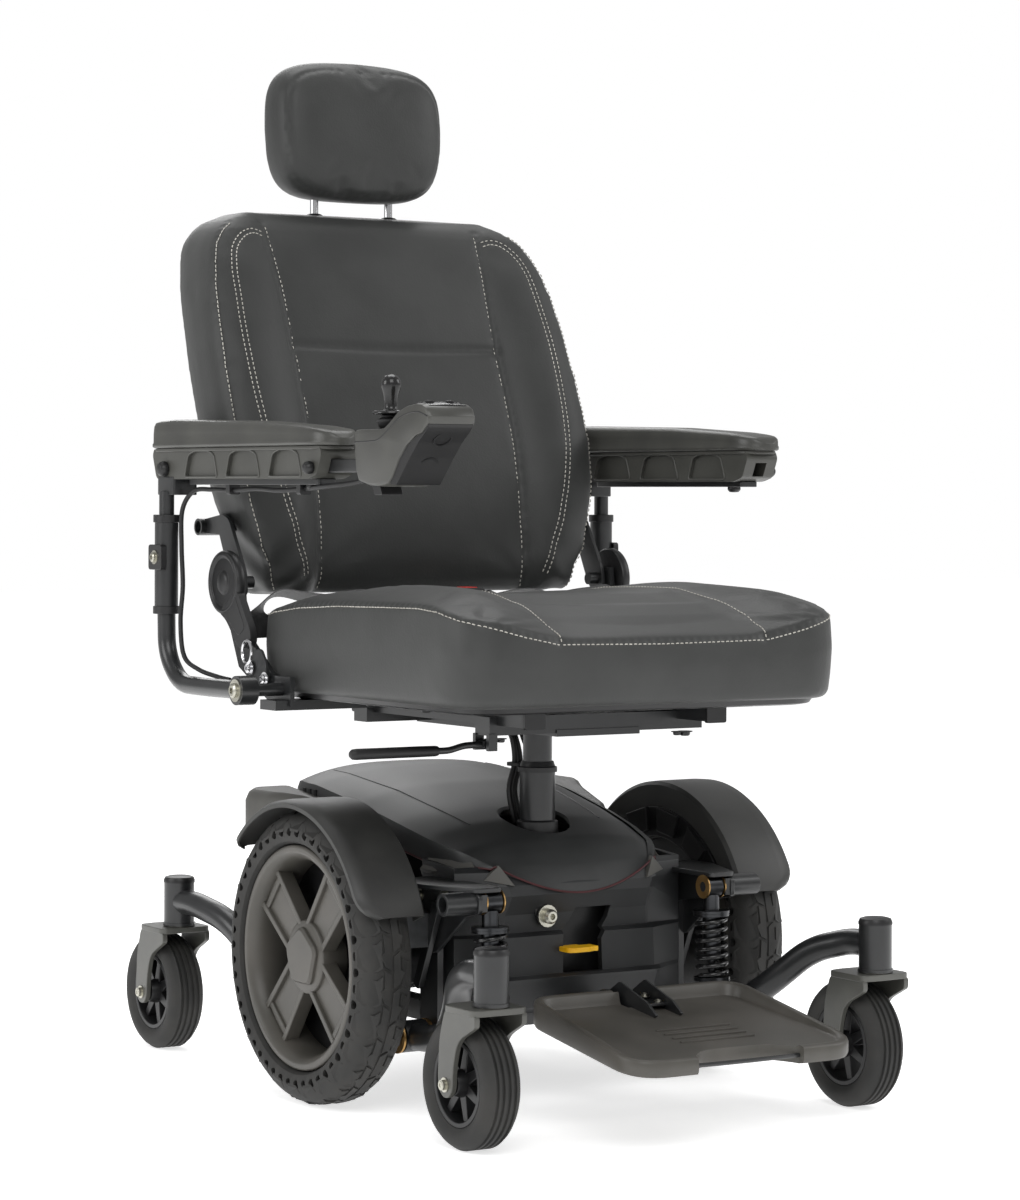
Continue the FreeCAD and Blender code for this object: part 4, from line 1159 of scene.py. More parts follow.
def topShroud():
    # domed deck with a hole for the column, a parting seal, vents and creases
    rings, seams = [], {-1: [], 1: []}
    count = 56
    for step in range(count + 1):
        y = -168 + 442 * (step / count) ** 1.35
        ring = [shroudPoint(i / 14, y) for i in range(-14, 15)]
        skirt = blendCurve(shroud["skirt"], y)
        for sign, at in ((-1, 0), (1, len(ring))):
            x, yy, z = shroudPoint(sign, y)
            side = [(x + sign * 2.2, yy, z - 0.3 * (z - skirt)), (x + sign * 3.2, yy, min(skirt, z - 1.5))]
            seams[sign].append((x + sign * 3, yy, min(skirt, z - 1.5) - 1))
            ring[at:at] = reversed(side) if sign < 0 else side
        rings.append(ring)
    points, faces = loft(rings, closed=False, capped=False)
    columns = len(rings[0])
    faces.append(tuple(range((len(rings) - 1) * columns, len(rings) * columns)))
    deck = addPiece("topShroud", points, faces, shroudPlastic, "base", "shroud_plastic", ("top_shroud",),
                    angle=30)
    wall = deck.modifiers.new("wall", "SOLIDIFY")
    wall.thickness = 0.0035
    applyModifiers(deck)
    middle = []
    for z, radius, shift in ((280, 34, 0), (330, 38, 0), (346, 46, 4), (400, 60, 10)):
        middle.append([(1.1 * radius * math.cos(a), places["columnY"] + shift + radius * math.sin(a), z)
                       for a in (2 * math.pi * i / 40 for i in range(40))])
    cutAway(deck, [loft(middle)])
    softenEdges(deck, 1.4, 40)
    front = [(x, y - 1.2, z - 0.8) for x, y, z in (shroudPoint(i / 14, -168) for i in range(-14, 15))]
    seal = list(reversed(seams[-1][1:])) + front + seams[1][1:]
    addPiece("partingSeal", *pipe(seal, 1.3, 6), redSeal, "base", "shroud_plastic")
    slots = []
    for i in range(3):
        y = 196 + i * 14
        for sign in (-1, 1):
            x = sign * (blendCurve(shroud["half"], y) + 2.4)
            slots.append(loft([[(x + sign * d, y, 360), (x + sign * d, y + 6, 360),
                                (x + sign * d, y + 3, 345), (x + sign * d, y - 3, 345)]
                               for d in (-0.6, 1.2)]))
    addParts("shroudVents", slots, blackPlastic, "base", "shroud_plastic")
    boot = lathe([(-40, 23), (-40, 46), (-37, 46), (-30, 30), (-20, 27), (8, 25.5), (10, 23)],
                 (0, places["columnY"], 326), "z", 40)
    addPiece("postBoot", *boot, blackPlastic, "base", "painted_steel")
    crease = []
    for sign in (-1, 1):
        run = [shroudPoint(sign * (0.62 + 0.1 * i / 20), -60 + 300 * i / 20) for i in range(21)]
        crease.append(pipe([(x, y, z - 0.5) for x, y, z in run], 1.3, 6))
    addParts("shroudCrease", crease, shroudPlastic, "base", "shroud_plastic")


def tailPanels():
    # side panels behind the wheels, the bumper and its reflectors
    shapes = []
    for sign in (-1, 1):
        plan = [(166, 40), (200, 74), (214, 150), (238, 196), (240, 252), (222, 276), (166, 279)]
        rings = []
        for z, grow in ((308, -5), (313, 0), (346, 0), (356, -5), (360, -12)):
            outline = roundCorners([(sign * (x + grow * (x > 170)), y) for x, y in plan], 11)
            rings.append([(x, y, z - 24 * ease(190, 40, y)) for x, y in outline])
        shapes.append(loft(rings))
    addParts("tailPanels", shapes, tailPlastic, "base", "tail_plastic", ("tail_cover",), bevel=1.5)
    back = roundCorners([(-206, 268), (206, 268), (214, 346), (-214, 346)], 16)
    addPiece("tailBumper", *loft([[(x, 275, z) for x, z in back], [(x, 281, z) for x, z in back],
                                  [(x * 0.97, 286, (z - 308) * 0.92 + 308) for x, z in back]]),
             shellPlastic, "base", "tail_plastic", bevel=1.5)
    lamps = [slab("xz", roundCorners(oblong(sign * 150, 312, sign * 186, 330), 6), 285, 288)
             for sign in (-1, 1)]
    addParts("rearReflectors", lamps, redPlastic, "base", "tail_plastic", bevel=0.8)


def bracketArms():
    # black suspension brackets between the shroud and the wheels
    shapes = []
    for sign in (-1, 1):
        outline = [(-226, 268), (-226, 246), (-196, 240), (-128, 190), (-96, 190), (-84, 236), (-60, 262),
                   (-72, 274), (-190, 276)]
        shapes.append(slab("yz", roundCorners(outline, 6), sign * 182 - 3, sign * 182 + 3))
        top = [(sign * 150, -224), (sign * 186, -224), (sign * 222, -128), (sign * 222, -88),
               (sign * 150, -70)]
        shapes.append(slab("xy", roundCorners(top, 8), 270, 276))
        link = [(-150, 246), (-138, 256), (-92, 150), (-104, 144)]
        shapes.append(slab("yz", roundCorners(link, 4), sign * 191 - 4, sign * 191 + 4))
    addParts("bracketArms", shapes, coatedSteel, "base", "painted_steel", bevel=1.2)
    nuts = []
    for sign in (-1, 1):
        for y, z in ((-206, 258), (-150, 262), (-108, 206), (-92, 256), (-72, 250)):
            nuts.append(bolt((sign * 185, y, z), "x", 5.5, 5, sign))
    addParts("bracketBolts", nuts, zinc, "base", "painted_steel")


noseShell()
topShroud()
tailPanels()
bracketArms()
print("base shells built")


tray = {"front": -512, "back": -270, "halfFront": 160, "halfBack": 150, "low": 108, "rise": 31, "run": 234}


def footPlate():
    # a moulded tray with a deep wall and a lip that rises to the back; the front edge has a
    # notch with a bar across it
    front, back, halfFront, halfBack = (tray[key] for key in ("front", "back", "halfFront", "halfBack"))

    def level(y):
        return tray["low"] + tray["rise"] * (y - front) / tray["run"]

    rings = []
    for inset, drop, lip in ((9, -20, 0), (2, -18, 0), (0, -14, 0), (0, -2, 0.7), (1.2, 0.4, 0.95),
                             (3.6, 1.4, 1), (8, 1.2, 1),
                             (10.5, 0.2, 0.9), (12.5, -1.2, 0.3), (14.5, -1.6, 0), (19, -1.6, 0)):
        corners = [(inset - halfFront, front + inset), (halfFront - inset, front + inset),
                   (halfBack - inset, back - inset), (inset - halfBack, back - inset)]
        outline = roundCorners(corners, [50 - inset, 50 - inset, 34 - inset, 34 - inset], 9)
        rings.append([(x, y, level(y) + drop + lip * 11.5 * ease(-505, -330, y)) for x, y in outline])
    plate = addPiece("footTray", *loft(rings), rimPlastic, "footplate", "shroud_plastic", ("footplate",),
                     angle=50)
    notch = [(-74, -530), (-73, -502), (-52, -482), (-34, -478), (34, -478), (52, -482), (73, -502),
             (74, -530)]
    cutAway(plate, [slab("xy", roundCorners(notch, [1, 6, 9, 6, 6, 9, 6, 1]), 60, 180),
                   slab("xy", [(-31, -279), (-24, -279), (-24, -300), (24, -300), (24, -279), (31, -279),
                               (31, -255), (-31, -255)], 121, 180)])
    plate.data.set_sharp_from_angle(angle=math.radians(40))
    softenEdges(plate, 1.2, 50)
    bar = pipe([(-79, -503, 99), (-40, -505, 99), (0, -505.5, 99), (40, -505, 99), (79, -503, 99)], 2.6, 10)
    addPiece("footBar", *bar, coatedSteel, "footplate", "shroud_plastic")
    ribs = []
    for i in range(4):
        y = -448 + i * 16
        z = level(y) - 1.6
        ribs.append(slab("xy", roundCorners(oblong(-52, y, 52, y + 5), 2.2), z - 1.5, z + 2.2))
    addParts("footGrip", ribs, rimPlastic, "footplate", "shroud_plastic", bevel=0.5)
    channel = []
    for sign in (-1, 1):
        cheek = [(-262, 121), (-249, 128), (-249, 147), (-274, 162), (-332, 144), (-352, 131), (-344, 127),
                 (-270, 134)]
        channel.append(slab("yz", roundCorners(cheek, 3), sign * 18 - 1.6, sign * 18 + 1.6))
    channel.append(slab("xy", oblong(-18, -322, 18, -268), 137, 140.5))
    channel.append(lathe(ringSection(-22, 5.1, 22, 10), (0, -258, 132), "x", 28))
    addParts("footHinge", channel, coatedSteel, "footplate", "shroud_plastic", bevel=0.7)
    screws = [bolt((x, y, 141 + (y + 300) * 0.14), "z", 4.5, 4) for x in (-10, 10) for y in (-312, -284)]
    addParts("footScrews", screws, zinc, "footplate", "shroud_plastic")


def footBracket():
    # beam and ears on the base, with the hinge pin
    shapes = [slab("yz", roundCorners(oblong(-252, 104, -160, 120), 2), -30, 30)]
    for sign in (-1, 1):
        ear = [(-276, 112), (-244, 106), (-232, 118), (-246, 150), (-264, 152), (-276, 140)]
        shapes.append(slab("yz", roundCorners(ear, 6), sign * 26.5 - 3, sign * 26.5 + 3))
    addParts("footBracket", shapes, coatedSteel, "base", "painted_steel", ("footrest_bracket",), bevel=1)
    ends = [bolt((sign * 29, -258, 132), "x", 7, 5, sign) for sign in (-1, 1)]
    ends.append(bolt((-4, -205, 119.5), "z", 7, 8))
    addParts("footPin", ends, zinc, "base", "painted_steel")


def releaseTab():
    # finger tab that pulls out of the nose window
    outline = [(tabLeft, -182), (tabLeft + 8, -186), (tabLeft + 30, -185), (tabLeft + 38, -181),
               (tabLeft + 45, -182),
               (tabLeft + 45, -162), (tabLeft, -162)]
    shapes = [slab("xy", roundCorners(outline, [4, 3, 3, 2, 3, 1, 1]), 185.6, 191.6)]
    shapes.append(slab("xy", oblong(tabLeft + 9, -164, tabLeft + 36, -145), 186.8, 190))
    addParts("releaseTab", shapes, yellowPlastic, "release_tab", "yellow_plastic", ("release_tab",),
             bevel=1.2)


tabLeft = (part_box("release_tab")[0].x - axleLine.x) * 1000
footPlate()
footBracket()
releaseTab()
print("foot plate built")


def seatColumn():
    # collar, harness and the bracket trim under the seat
    shapes = [lathe([(395, 16), (395, 24.5), (401, 24.5), (402, 22), (408, 20), (408, 16)],
                    (0, places["columnY"], 0), "z", 40)]
    addParts("columnCollar", shapes, blackPlastic, "base", "painted_steel")
    wires = []
    for i, (x, y) in enumerate(((10, -34), (-2, -30), (-13, -35))):
        route = [(x, y, 330), (x - 6, y + 5, 370), (x + 4, y + 8, 405), (x - 4 + 3 * i, y + 12, 436),
                 (x, y + 26, 447)]
        wires.append(pipe(smoothPath(route, 6), 3.6, 8))
    tie = lathe(ringSection(0, 9, 4, 15), (-3, -27, 400), "z", 20)
    addParts("columnHarness", wires + [tie], softRubber, "base", "painted_steel")
    bracket = []
    for sign in (-1, 1):
        gusset = [(0, 448), (52, 448), (20, 462), (0, 462)]
        bracket.append(slab("xz", [(sign * a, b) for a, b in gusset], -196, -190))
        bracket.append(bolt((sign * 140, -182, 447.5), "z", 6.5, 6, -1))
        bracket.append(bolt((sign * 128, -182, 447.5), "z", 5, 5, -1))
    bracket.append(lathe([(446, 18.2), (446, 30), (449, 34), (452, 34), (452, 18.2)],
                         (0, places["columnY"], 0), "z", 36))
    addParts("seatBracketTrim", bracket, coatedSteel, "seat", "painted_steel", bevel=0.8)


def swivelLever():
    # bent rod with a long grip
    route = [(-150, -182, 441), (-178, -182, 440.5), (-200, -182, 436), (-222, -182, 435.6),
             (-240, -182, 435.6)]
    shapes = [pipe(smoothPath(route, 6), 4, 12),
              lathe(ringSection(-8, 3.1, 8, 6), (-150, -182, 441), "y", 24)]
    grip = lathe([(-215, 3), (-216, 5.6), (-219, 6.3), (-240, 6.5), (-300, 6.5), (-326, 6.6), (-331, 6.1),
                  (-334, 3.8), (-334.5, 0.01)],
                 (0, -182, 435.7), "x", 28)
    addParts("swivelLever", shapes, coatedSteel, "swivel_lever", "painted_steel", ("swivel_lever",))
    addPiece("leverGrip", *grip, softRubber, "swivel_lever", "painted_steel")


def recliner(side, sign):
    # hinge cover, side plate and belt anchor
    y, z = 206, 625
    x = sign * 292
    dish = [(-7, 0.01), (-7, 39), (-4, 40.6), (2, 40.6), (5, 39), (6.2, 35.5), (5.2, 32.5), (3.4, 31),
            (3.4, 15), (5.6, 13.4),
            (7.4, 10), (7.8, 0.01)]
    shapes = [lathe(sided(sign, dish), (x, y, z), "x", 64)]
    arm = [(y + 10, z - 38), (y - 38, z - 8), (y - 72, z - 56), (y - 76, z - 72), (y - 62, z - 82),
           (y - 42, z - 80), (y - 8, z - 46)]
    shapes.append(slab("yz", roundCorners(arm, 9), x - 5, x + 5))
    ridge = [(y + 4, z - 34), (y - 30, z - 12), (y - 60, z - 54), (y - 44, z - 66)]
    shapes.append(slab("yz", roundCorners(ridge, 7), x + sign * 4.5 - 1.2, x + sign * 4.5 + 1.2))
    addParts(f"reclinerCover.{side}", shapes, blackPlastic, "seat", "cover_plastic", ("recliner_covers",),
             bevel=1)
    plate = [(y - 78, z - 80), (y - 50, z - 84), (y - 46, z - 128), (y - 96, z - 128), (y - 92, z - 98)]
    addPiece(f"seatSidePlate.{side}", *slab("yz", roundCorners(plate, 6), sign * 283 - 2, sign * 283 + 2),
             castAlloy, "seat",
             "painted_steel", bevel=0.6)
    ring = [(sign * 300, 134 + 12 * math.cos(a), 541 + 14 * math.sin(a))
            for a in (2 * math.pi * i / 28 for i in range(29))]
    metalWork = [pipe(ring, 2.2, 8), bolt((sign * 287, 112, 508), "x", 6, 6, sign),
                 bolt((sign * 287, 150, 520), "x", 6, 6, sign)]
    addParts(f"beltAnchor.{side}", metalWork, chrome, "seat", "painted_steel")


def seatUnderTrim():
    # formed pan under the cushion, with its rolled edge and the slide rails' end caps
    pan = roundCorners([(-252, -322), (252, -322), (256, 150), (-256, 150)], [50, 50, 16, 16])
    shapes = [loft([[(x * s, (y + 86) * s - 86, z) for x, y in pan] for z,
                    s in ((484, 0.95), (486, 0.985), (493, 1))])]
    addParts("seatPan", shapes, blackPlastic, "seat", "painted_steel", bevel=1)
    caps = []
    for sign in (-1, 1):
        for y in (-262, 138):
            caps.append(slab("xz", roundCorners(oblong(sign * 116, 462, sign * 145, 486), 3), y, y + 6))
        for y in (-150, -20, 96):
            caps.append(bolt((sign * 212, y, 484), "z", 6, 5, -1))
    addParts("railCaps", caps, blackPlastic, "seat", "painted_steel", bevel=0.8)


def lapBelt():
    # webbing lies in loops along the back of the cushion and meets in a buckle
    def webbingStrip(points, wide, name, where=()):
        shape = strap(smoothPath(points, 8), wide, 1.6, (0, 0.25, 1))
        addPiece(name, *shape, webbing, "seat", "webbing", where, angle=60)

    near = [(-262, 176, 556), (-262, 172, 590), (-240, 168, 612), (-200, 158, 607), (-150, 164, 603),
            (-104, 150, 611),
            (-60, 158, 604), (-22, 150, 609)]
    far = [(262, 176, 556), (262, 172, 590), (244, 168, 612), (206, 156, 610), (160, 166, 603),
           (112, 152, 610), (70, 160, 604),
           (44, 150, 609)]
    webbingStrip(near, 44, "beltNear", ("seat_belt",))
    webbingStrip(far, 44, "beltFar")
    webbingStrip([(-190, 140, 604), (-150, 132, 612), (-110, 142, 605), (-70, 134, 610)], 40, "beltTail")
    body = roundCorners([(-24, 128), (46, 128), (50, 136), (50, 168), (44, 176), (-22, 176), (-28, 168),
                         (-28, 136)], 5)
    buckle = loft([[((x - 11) * size + 11, (y - 152) * size + 152, z) for x, y in body]
                   for z, size in ((600, 0.92), (603, 1), (612, 1), (616, 0.9), (616.6, 0.7))])
    addPiece("beltBuckle", *buckle, blackPlastic, "seat", "webbing", bevel=1)
    button = slab("xy", roundCorners(oblong(22, 142, 42, 166), 4), 614, 617.6)
    addPiece("buckleButton", *button, redPlastic, "seat", "webbing", bevel=1.2)
    tongue = slab("xy", roundCorners(oblong(-52, 136, -26, 168), 5), 606, 608.6)
    addPiece("buckleTongue", *tongue, chrome, "seat", "webbing", bevel=0.5)


seatColumn()
swivelLever()
seatUnderTrim()
for side, sign in sides.items():
    recliner(side, sign)
lapBelt()
print("seat frame, recliners and belt built")


armPad = {"front": -126, "back": 330, "half": 32,
          "top": [(-126, 803), (-118, 811), (-100, 815), (-66, 818.5), (60, 826), (270, 831), (322, 829),
                  (330, 824)]}


def armrestPad(side, sign):
    # a moulded urethane pad, rounded at both ends
    rings = []
    for step in range(49):
        k = step / 48
        y = armPad["front"] + (armPad["back"] - armPad["front"]) * (0.5 - 0.5 * math.cos(math.pi * k))
        nose = min(1, (y - armPad["front"] + 0.4) / 40)
        tail = min(1, (armPad["back"] - y + 0.4) / 22)
        ends = math.sqrt(1 - (1 - nose) ** 2.2) * math.sqrt(1 - (1 - tail) ** 2.4)
        half = armPad["half"] * ends - 1.2 * math.sin(math.pi * k)
        half = max(half, 2)
        top = blendCurve(armPad["top"], y)
        section = [(0.9, 794.4), (1, 796), (1, 799.4), (0.955, 801), (0.95, 0.42), (0.92, 0.74),
                   (0.83, 0.91), (0.62, 0.985), (0.3, 1)]
        ring = []
        for across, rise in section:
            z = rise if rise > 2 else 801 + (top - 801) * rise
            ring.append((half * across, min(z, top)))
        ring = ring + [(0, top)] + [(-a, b) for a, b in reversed(ring)]
        rings.append([(sign * places["armX"] + a, y, b) for a, b in ring])
    points, faces = loft(rings)
    pad = addPiece(f"armrestPad.{side}", points, faces, padSkin, f"armrest_top_{side}", "arm_pad",
                   (f"armrest_pad_{side}",), angle=70)


def armrestHousing(side, sign):
    # ribbed housing with a socket for the bar, a sleeve for the post and its knobs
    x = sign * places["armX"]
    outline = roundCorners([(-100, 760), (-111, 785), (-106, 793.4), (324, 793.4), (328, 786), (317, 755),
                            (-80, 754.5)], [5, 10, 3, 3, 5, 8, 8])
    case = addPiece(f"armrestHousing.{side}", *slab("yz", outline, x - 24, x + 24), armPlastic,
                    f"armrest_top_{side}", "arm_plastic",
                    (f"armrest_housing_{side}",))
    cutters = [slab("xz", oblong(x - 8.6, 761.4, x + 8.6, 778.6), -140, 70)]
    arches = []
    for start, end in ((-64, 18), (40, 128), (150, 238)):
        arch = roundCorners([(start, 757.5), (start + 10, 786), (start + 26, 790.5), (end - 26, 790.5),
                             (end - 10, 786), (end, 757.5)], 6)
        for face in (-1, 1):
            low, high = sorted((x + face * 20, x + face * 30))
            cutters.append(slab("yz", arch, low, high))
            rib = [(x + face * 24.3, y, z) for y, z in arch + arch[:1]]
            arches.append(pipe(rib, 1.3, 6))
    cutAway(case, cutters)
    softenEdges(case, 1.4)
    addParts(f"housingRibs.{side}", arches, armPlastic, f"armrest_top_{side}", "arm_plastic")
    lip = roundCorners(oblong(x - 27, -116, x + 27, 322), [24, 24, 12, 12])
    addPiece(f"housingLip.{side}", *slab("xy", lip, 789.6, 794.2), armPlastic, f"armrest_top_{side}",
             "arm_plastic", bevel=1.4)
    inner = [slab("xy", roundCorners(oblong(x - 18 + sign * 8, 268, x + 18 + sign * 8, 312), 5), 735, 758)]
    inner.append(lathe(ringSection(640, 0.01, 740, 9.6), (sign * places["postX"], places["postY"], 0), "z",
                       32))
    addParts(f"housingSleeve.{side}", inner, coatedSteel, f"armrest_top_{side}", "arm_plastic", bevel=1)
    knobs = []
    for y, z, radius in ((290, 768, 9), (-88, 768, 7)):
        profile = [(0, 0.01), (0, radius), (3, radius + 1), (8, radius), (11, radius - 2.5), (12, 0.01)]
        knobs.append(lathe(sided(sign, profile), (sign * 334, y, z), "x", 24))
    knobs.append(lathe([(0, 0.01), (0, 8), (-10, 8.5), (-13, 6), (-13.5, 0.01)], (x, -50, 754.5), "z", 24))
    addParts(f"housingKnobs.{side}", knobs, blackPlastic, f"armrest_top_{side}", "arm_plastic", bevel=0.8)
    underside = slab("xy", roundCorners(oblong(x - 13, -84, x + 13, 250), 5), 748, 755)
    addPiece(f"housingRail.{side}", *underside, coatedSteel, f"armrest_top_{side}", "arm_plastic",
             bevel=0.8)


def armrestPostTrim(side, sign):
    # collars, clamp and bolts on the post
    x = sign * places["postX"]
    shapes = []
    for low, high, radius in ((584, 594, 17), (700, 710, 17)):
        shapes.append(lathe(ringSection(low, 15.1, high, radius), (x, places["postY"], 0), "z", 36))
    clamp = roundCorners(oblong(272, 640, 308, 672), 5)
    shapes.append(slab("yz", clamp, x + sign * 9, x + sign * 17))
    addParts(f"postCollars.{side}", shapes, blackPlastic, f"armrest_{side}", "painted_steel", bevel=0.8)
    heads = [bolt((x + sign * 17, 290, 656), "x", 6, 5, sign),
             bolt((x + sign * 11, 80, 497), "x", 9, 7, sign)]
    heads.append(lathe([(sign * a, r) for a, r in ((0, 8.1), (0, 14), (2, 14), (2, 8.1))],
                       (x + sign * 11, 80, 497), "x", 28))
    addParts(f"postBolts.{side}", heads, zinc, f"armrest_{side}", "painted_steel")


for side, sign in sides.items():
    armrestPad(side, sign)
    armrestHousing(side, sign)
    armrestPostTrim(side, sign)
print("armrests built")


handset = {"x": -310, "half": 31.5, "stickY": -231}


def controllerCase():
    # case, underside, ports, seam, fascia, keys, bar and lead relief
    x = handset["x"]
    # side view of the case from its rear corner over the platform and the raised front
    upper = [(-200, 784), (-200.4, 806), (-203, 811), (-214, 811.5), (-256, 811.5), (-266, 813),
             (-280, 820), (-300, 831.5),
             (-316, 836.5), (-338, 839), (-352, 838), (-362, 833), (-366.5, 824), (-365, 817)]
    lower = [(-352, 806), (-336, 802), (-318, 792), (-300, 775), (-286, 756), (-276, 747.5), (-262, 745.5),
             (-232, 747), (-209, 752), (-203, 764)]
    outline = upper + lower
    rings = []
    for across, shrink in ((-31.5, 5), (-30.6, 2), (-27, 0), (27, 0), (30.6, 2), (31.5, 5)):
        middle = (-280, 795)
        ring = []
        for y, z in outline:
            reach = math.hypot(y - middle[0], z - middle[1])
            ring.append((x + across, y + (middle[0] - y) * shrink / reach,
                         z + (middle[1] - z) * shrink / reach))
        rings.append(ring)
    case = addPiece("controllerCase", *loft(rings), handsetPlastic, "controller", "gloss_plastic",
                    ("controller_housing",), angle=38)
    softenEdges(case, 1.2, 38)
    wedge = [(-356, 806.5), (-362, 812), (-364, 816), (-344, 808), (-322, 798), (-303, 781), (-289, 762),
             (-278, 749), (-292, 747),
             (-302, 757), (-322, 778), (-340, 795)]
    addPiece("controllerUnderside", *slab("yz", roundCorners(wedge, 3), x - 29, x + 29), softRubber,
             "controller", "gloss_plastic", bevel=2)
    ports = []
    for y, z in ((-345, 799), (-313, 771)):
        tilt = Vector((0, -0.66, -0.75)).normalized()
        aside = tilt.cross(Vector((1, 0, 0))).normalized()
        rings = []
        for radius, out in ((12, -1), (12, 1.4), (9.5, 1.4), (9, -2.5), (3.5, -2.5), (3.5, 0.5),
                            (0.1, 0.6)):
            ring = []
            for i in range(28):
                a = 2 * math.pi * i / 28
                around = Vector((1, 0, 0)) * radius * math.cos(a) + aside * radius * math.sin(a)
                ring.append(tuple(Vector((x, y, z)) + tilt * out + around))
            rings.append(ring)
        ports.append(loft(rings))
    addParts("controllerPorts", ports, blackPlastic, "controller", "gloss_plastic", angle=30)
    groove = [(-203, 797), (-240, 797.5), (-258, 800), (-280, 811), (-300, 822), (-320, 827.5), (-345, 829),
              (-363, 824)]
    lines = [pipe([(x + sign * 31.2, y, z) for y, z in smoothOutline(groove)], 0.9, 6) for sign in (-1, 1)]
    addParts("controllerSeam", lines, blackPlastic, "controller", "gloss_plastic")
    glass = []
    for y, z in ((-268, 815), (-290, 826.6), (-316, 837.4), (-340, 840), (-356, 836.8)):
        glass.append([(x + a, y, z + b) for a,
                      b in ((-25, -2), (-24, 0.1), (0, 1.0), (24, 0.1), (25, -2), (0, -3))])
    addPiece("controllerFascia", *loft(glass), glossPlastic, "controller", "gloss_plastic", angle=40)
    keys = []
    for dx, y, z in ((-13, -318, 838.6), (13, -318, 838.6), (-13, -338, 840.6), (13, -338, 840.6)):
        keys.append(loft([[(x + dx + r * math.cos(a), y + 0.8 * r * math.sin(a), z + lift)
                           for a in (2 * math.pi * i / 20 for i in range(20))]
                          for r, lift in ((6, -2), (6, 0.8), (5, 1.8), (3, 2.1))]))
    addParts("controllerKeys", keys, softRubber, "controller", "gloss_plastic")
    bar = slab("xz", roundCorners(oblong(x - 7.9, 762.1, x + 7.9, 777.9), 1.6), -212, 60)
    addPiece("controllerBar", *bar, coatedSteel, "controller", "gloss_plastic")
    clip = slab("yz", roundCorners([(-236, 736), (-218, 736), (-212, 748), (-230, 748)], 2), x - 14, x + 14)
    addPiece("controllerClip", *clip, blackPlastic, "controller", "gloss_plastic", bevel=1)
    relief = lathe([(-199, 0.01), (-199, 7), (-190, 6.4), (-176, 4.6), (-172, 3.4), (-172, 0.01)],
                   (x, 0, 757.5), "y", 24)
    addPiece("leadRelief", *relief, softRubber, "controller", "cable_sheath")


def smoothOutline(points):
    # a smooth line through (y, z) points
    return [(y, z) for _, y, z in smoothPath([(0, y, z) for y, z in points], 6)]


def powerButton():
    # a square push button in the fascia
    low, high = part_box("power_button")
    x, y = handset["x"], (low.y + high.y) * 500 - axleLine.y * 1000
    rings = []
    for reach, z in ((5.8, 815), (5.8, 821.5), (5.2, 822.8), (3.5, 823.2)):
        rings.append([(x + a, y + b, z) for a, b in roundCorners(oblong(-reach, -reach, reach, reach), 2)])
    addPiece("powerButton", *loft(rings), redPlastic, "power_button", "gloss_plastic", ("power_button",))


def joystick():
    # bellows on the gimbal ring and a turned stick
    x, y = handset["x"], handset["stickY"]
    bellows = [(811, 10), (813, 13), (816, 15), (818.5, 15.6), (820.5, 17), (822.5, 17), (823.5, 14),
               (825, 11), (827, 12), (829, 9)]
    addPiece("joystickBellows", *lathe([(z, r) for z, r in bellows] + [(829, 0.01), (811, 0.01)], (x, y, 0),
                                       "z", 40), softRubber,
             "joystick_ring", "gloss_plastic", ("joystick_ring",), angle=50)
    disc = [(828.6, 0.01), (828.6, 20), (829.6, 22), (831.6, 22), (832.6, 20.5), (833.2, 10), (834.5, 8),
            (838, 7.6), (845, 8),
            (852, 9.2), (857, 10.6), (861, 11.5), (865, 11.6), (869, 10.4), (872.4, 7.4), (874.4, 3.6),
            (875, 0.01)]
    addPiece("joystickStick", *lathe(disc, (x, y, 0), "z", 48), glossPlastic, "joystick_stick",
             "gloss_plastic", ("joystick_stick",), angle=60)


def controllerLead():
    # the lead runs along the armrest and down its post
    route = [(-310, -201, 757.5), (-312, -150, 750), (-318, -92, 746), (-312, -30, 743), (-313, 30, 741),
             (-311, 90, 743),
             (-313, 150, 741), (-312, 205, 742), (-316, 248, 740), (-322, 268, 716), (-325, 264, 670),
             (-324, 262, 620),
             (-326, 264, 574), (-328, 250, 532), (-322, 222, 516), (-311, 192, 508), (-306, 168, 505)]
    lead = addPiece("controllerLead", *pipe(smoothPath(route, 6), 3, 10), softRubber, None, "cable_sheath",
                    ("controller_lead",))
    tuple(place((-310, -60, 750)))
    tuple(place((-310, -195, 757)))
    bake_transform(lead)
    clips = []
    for y in (-30, 150):
        clips.append(slab("xz", roundCorners(oblong(-320, 736, -304, 756), 3), y - 5, y + 5))
    addParts("leadClips", clips, blackPlastic, "armrest_top_right", "cable_sheath", bevel=0.8)


controllerCase()
powerButton()
joystick()
controllerLead()
print("controller built")


panel = {"half": 206, "middle": 838, "tall": 188}


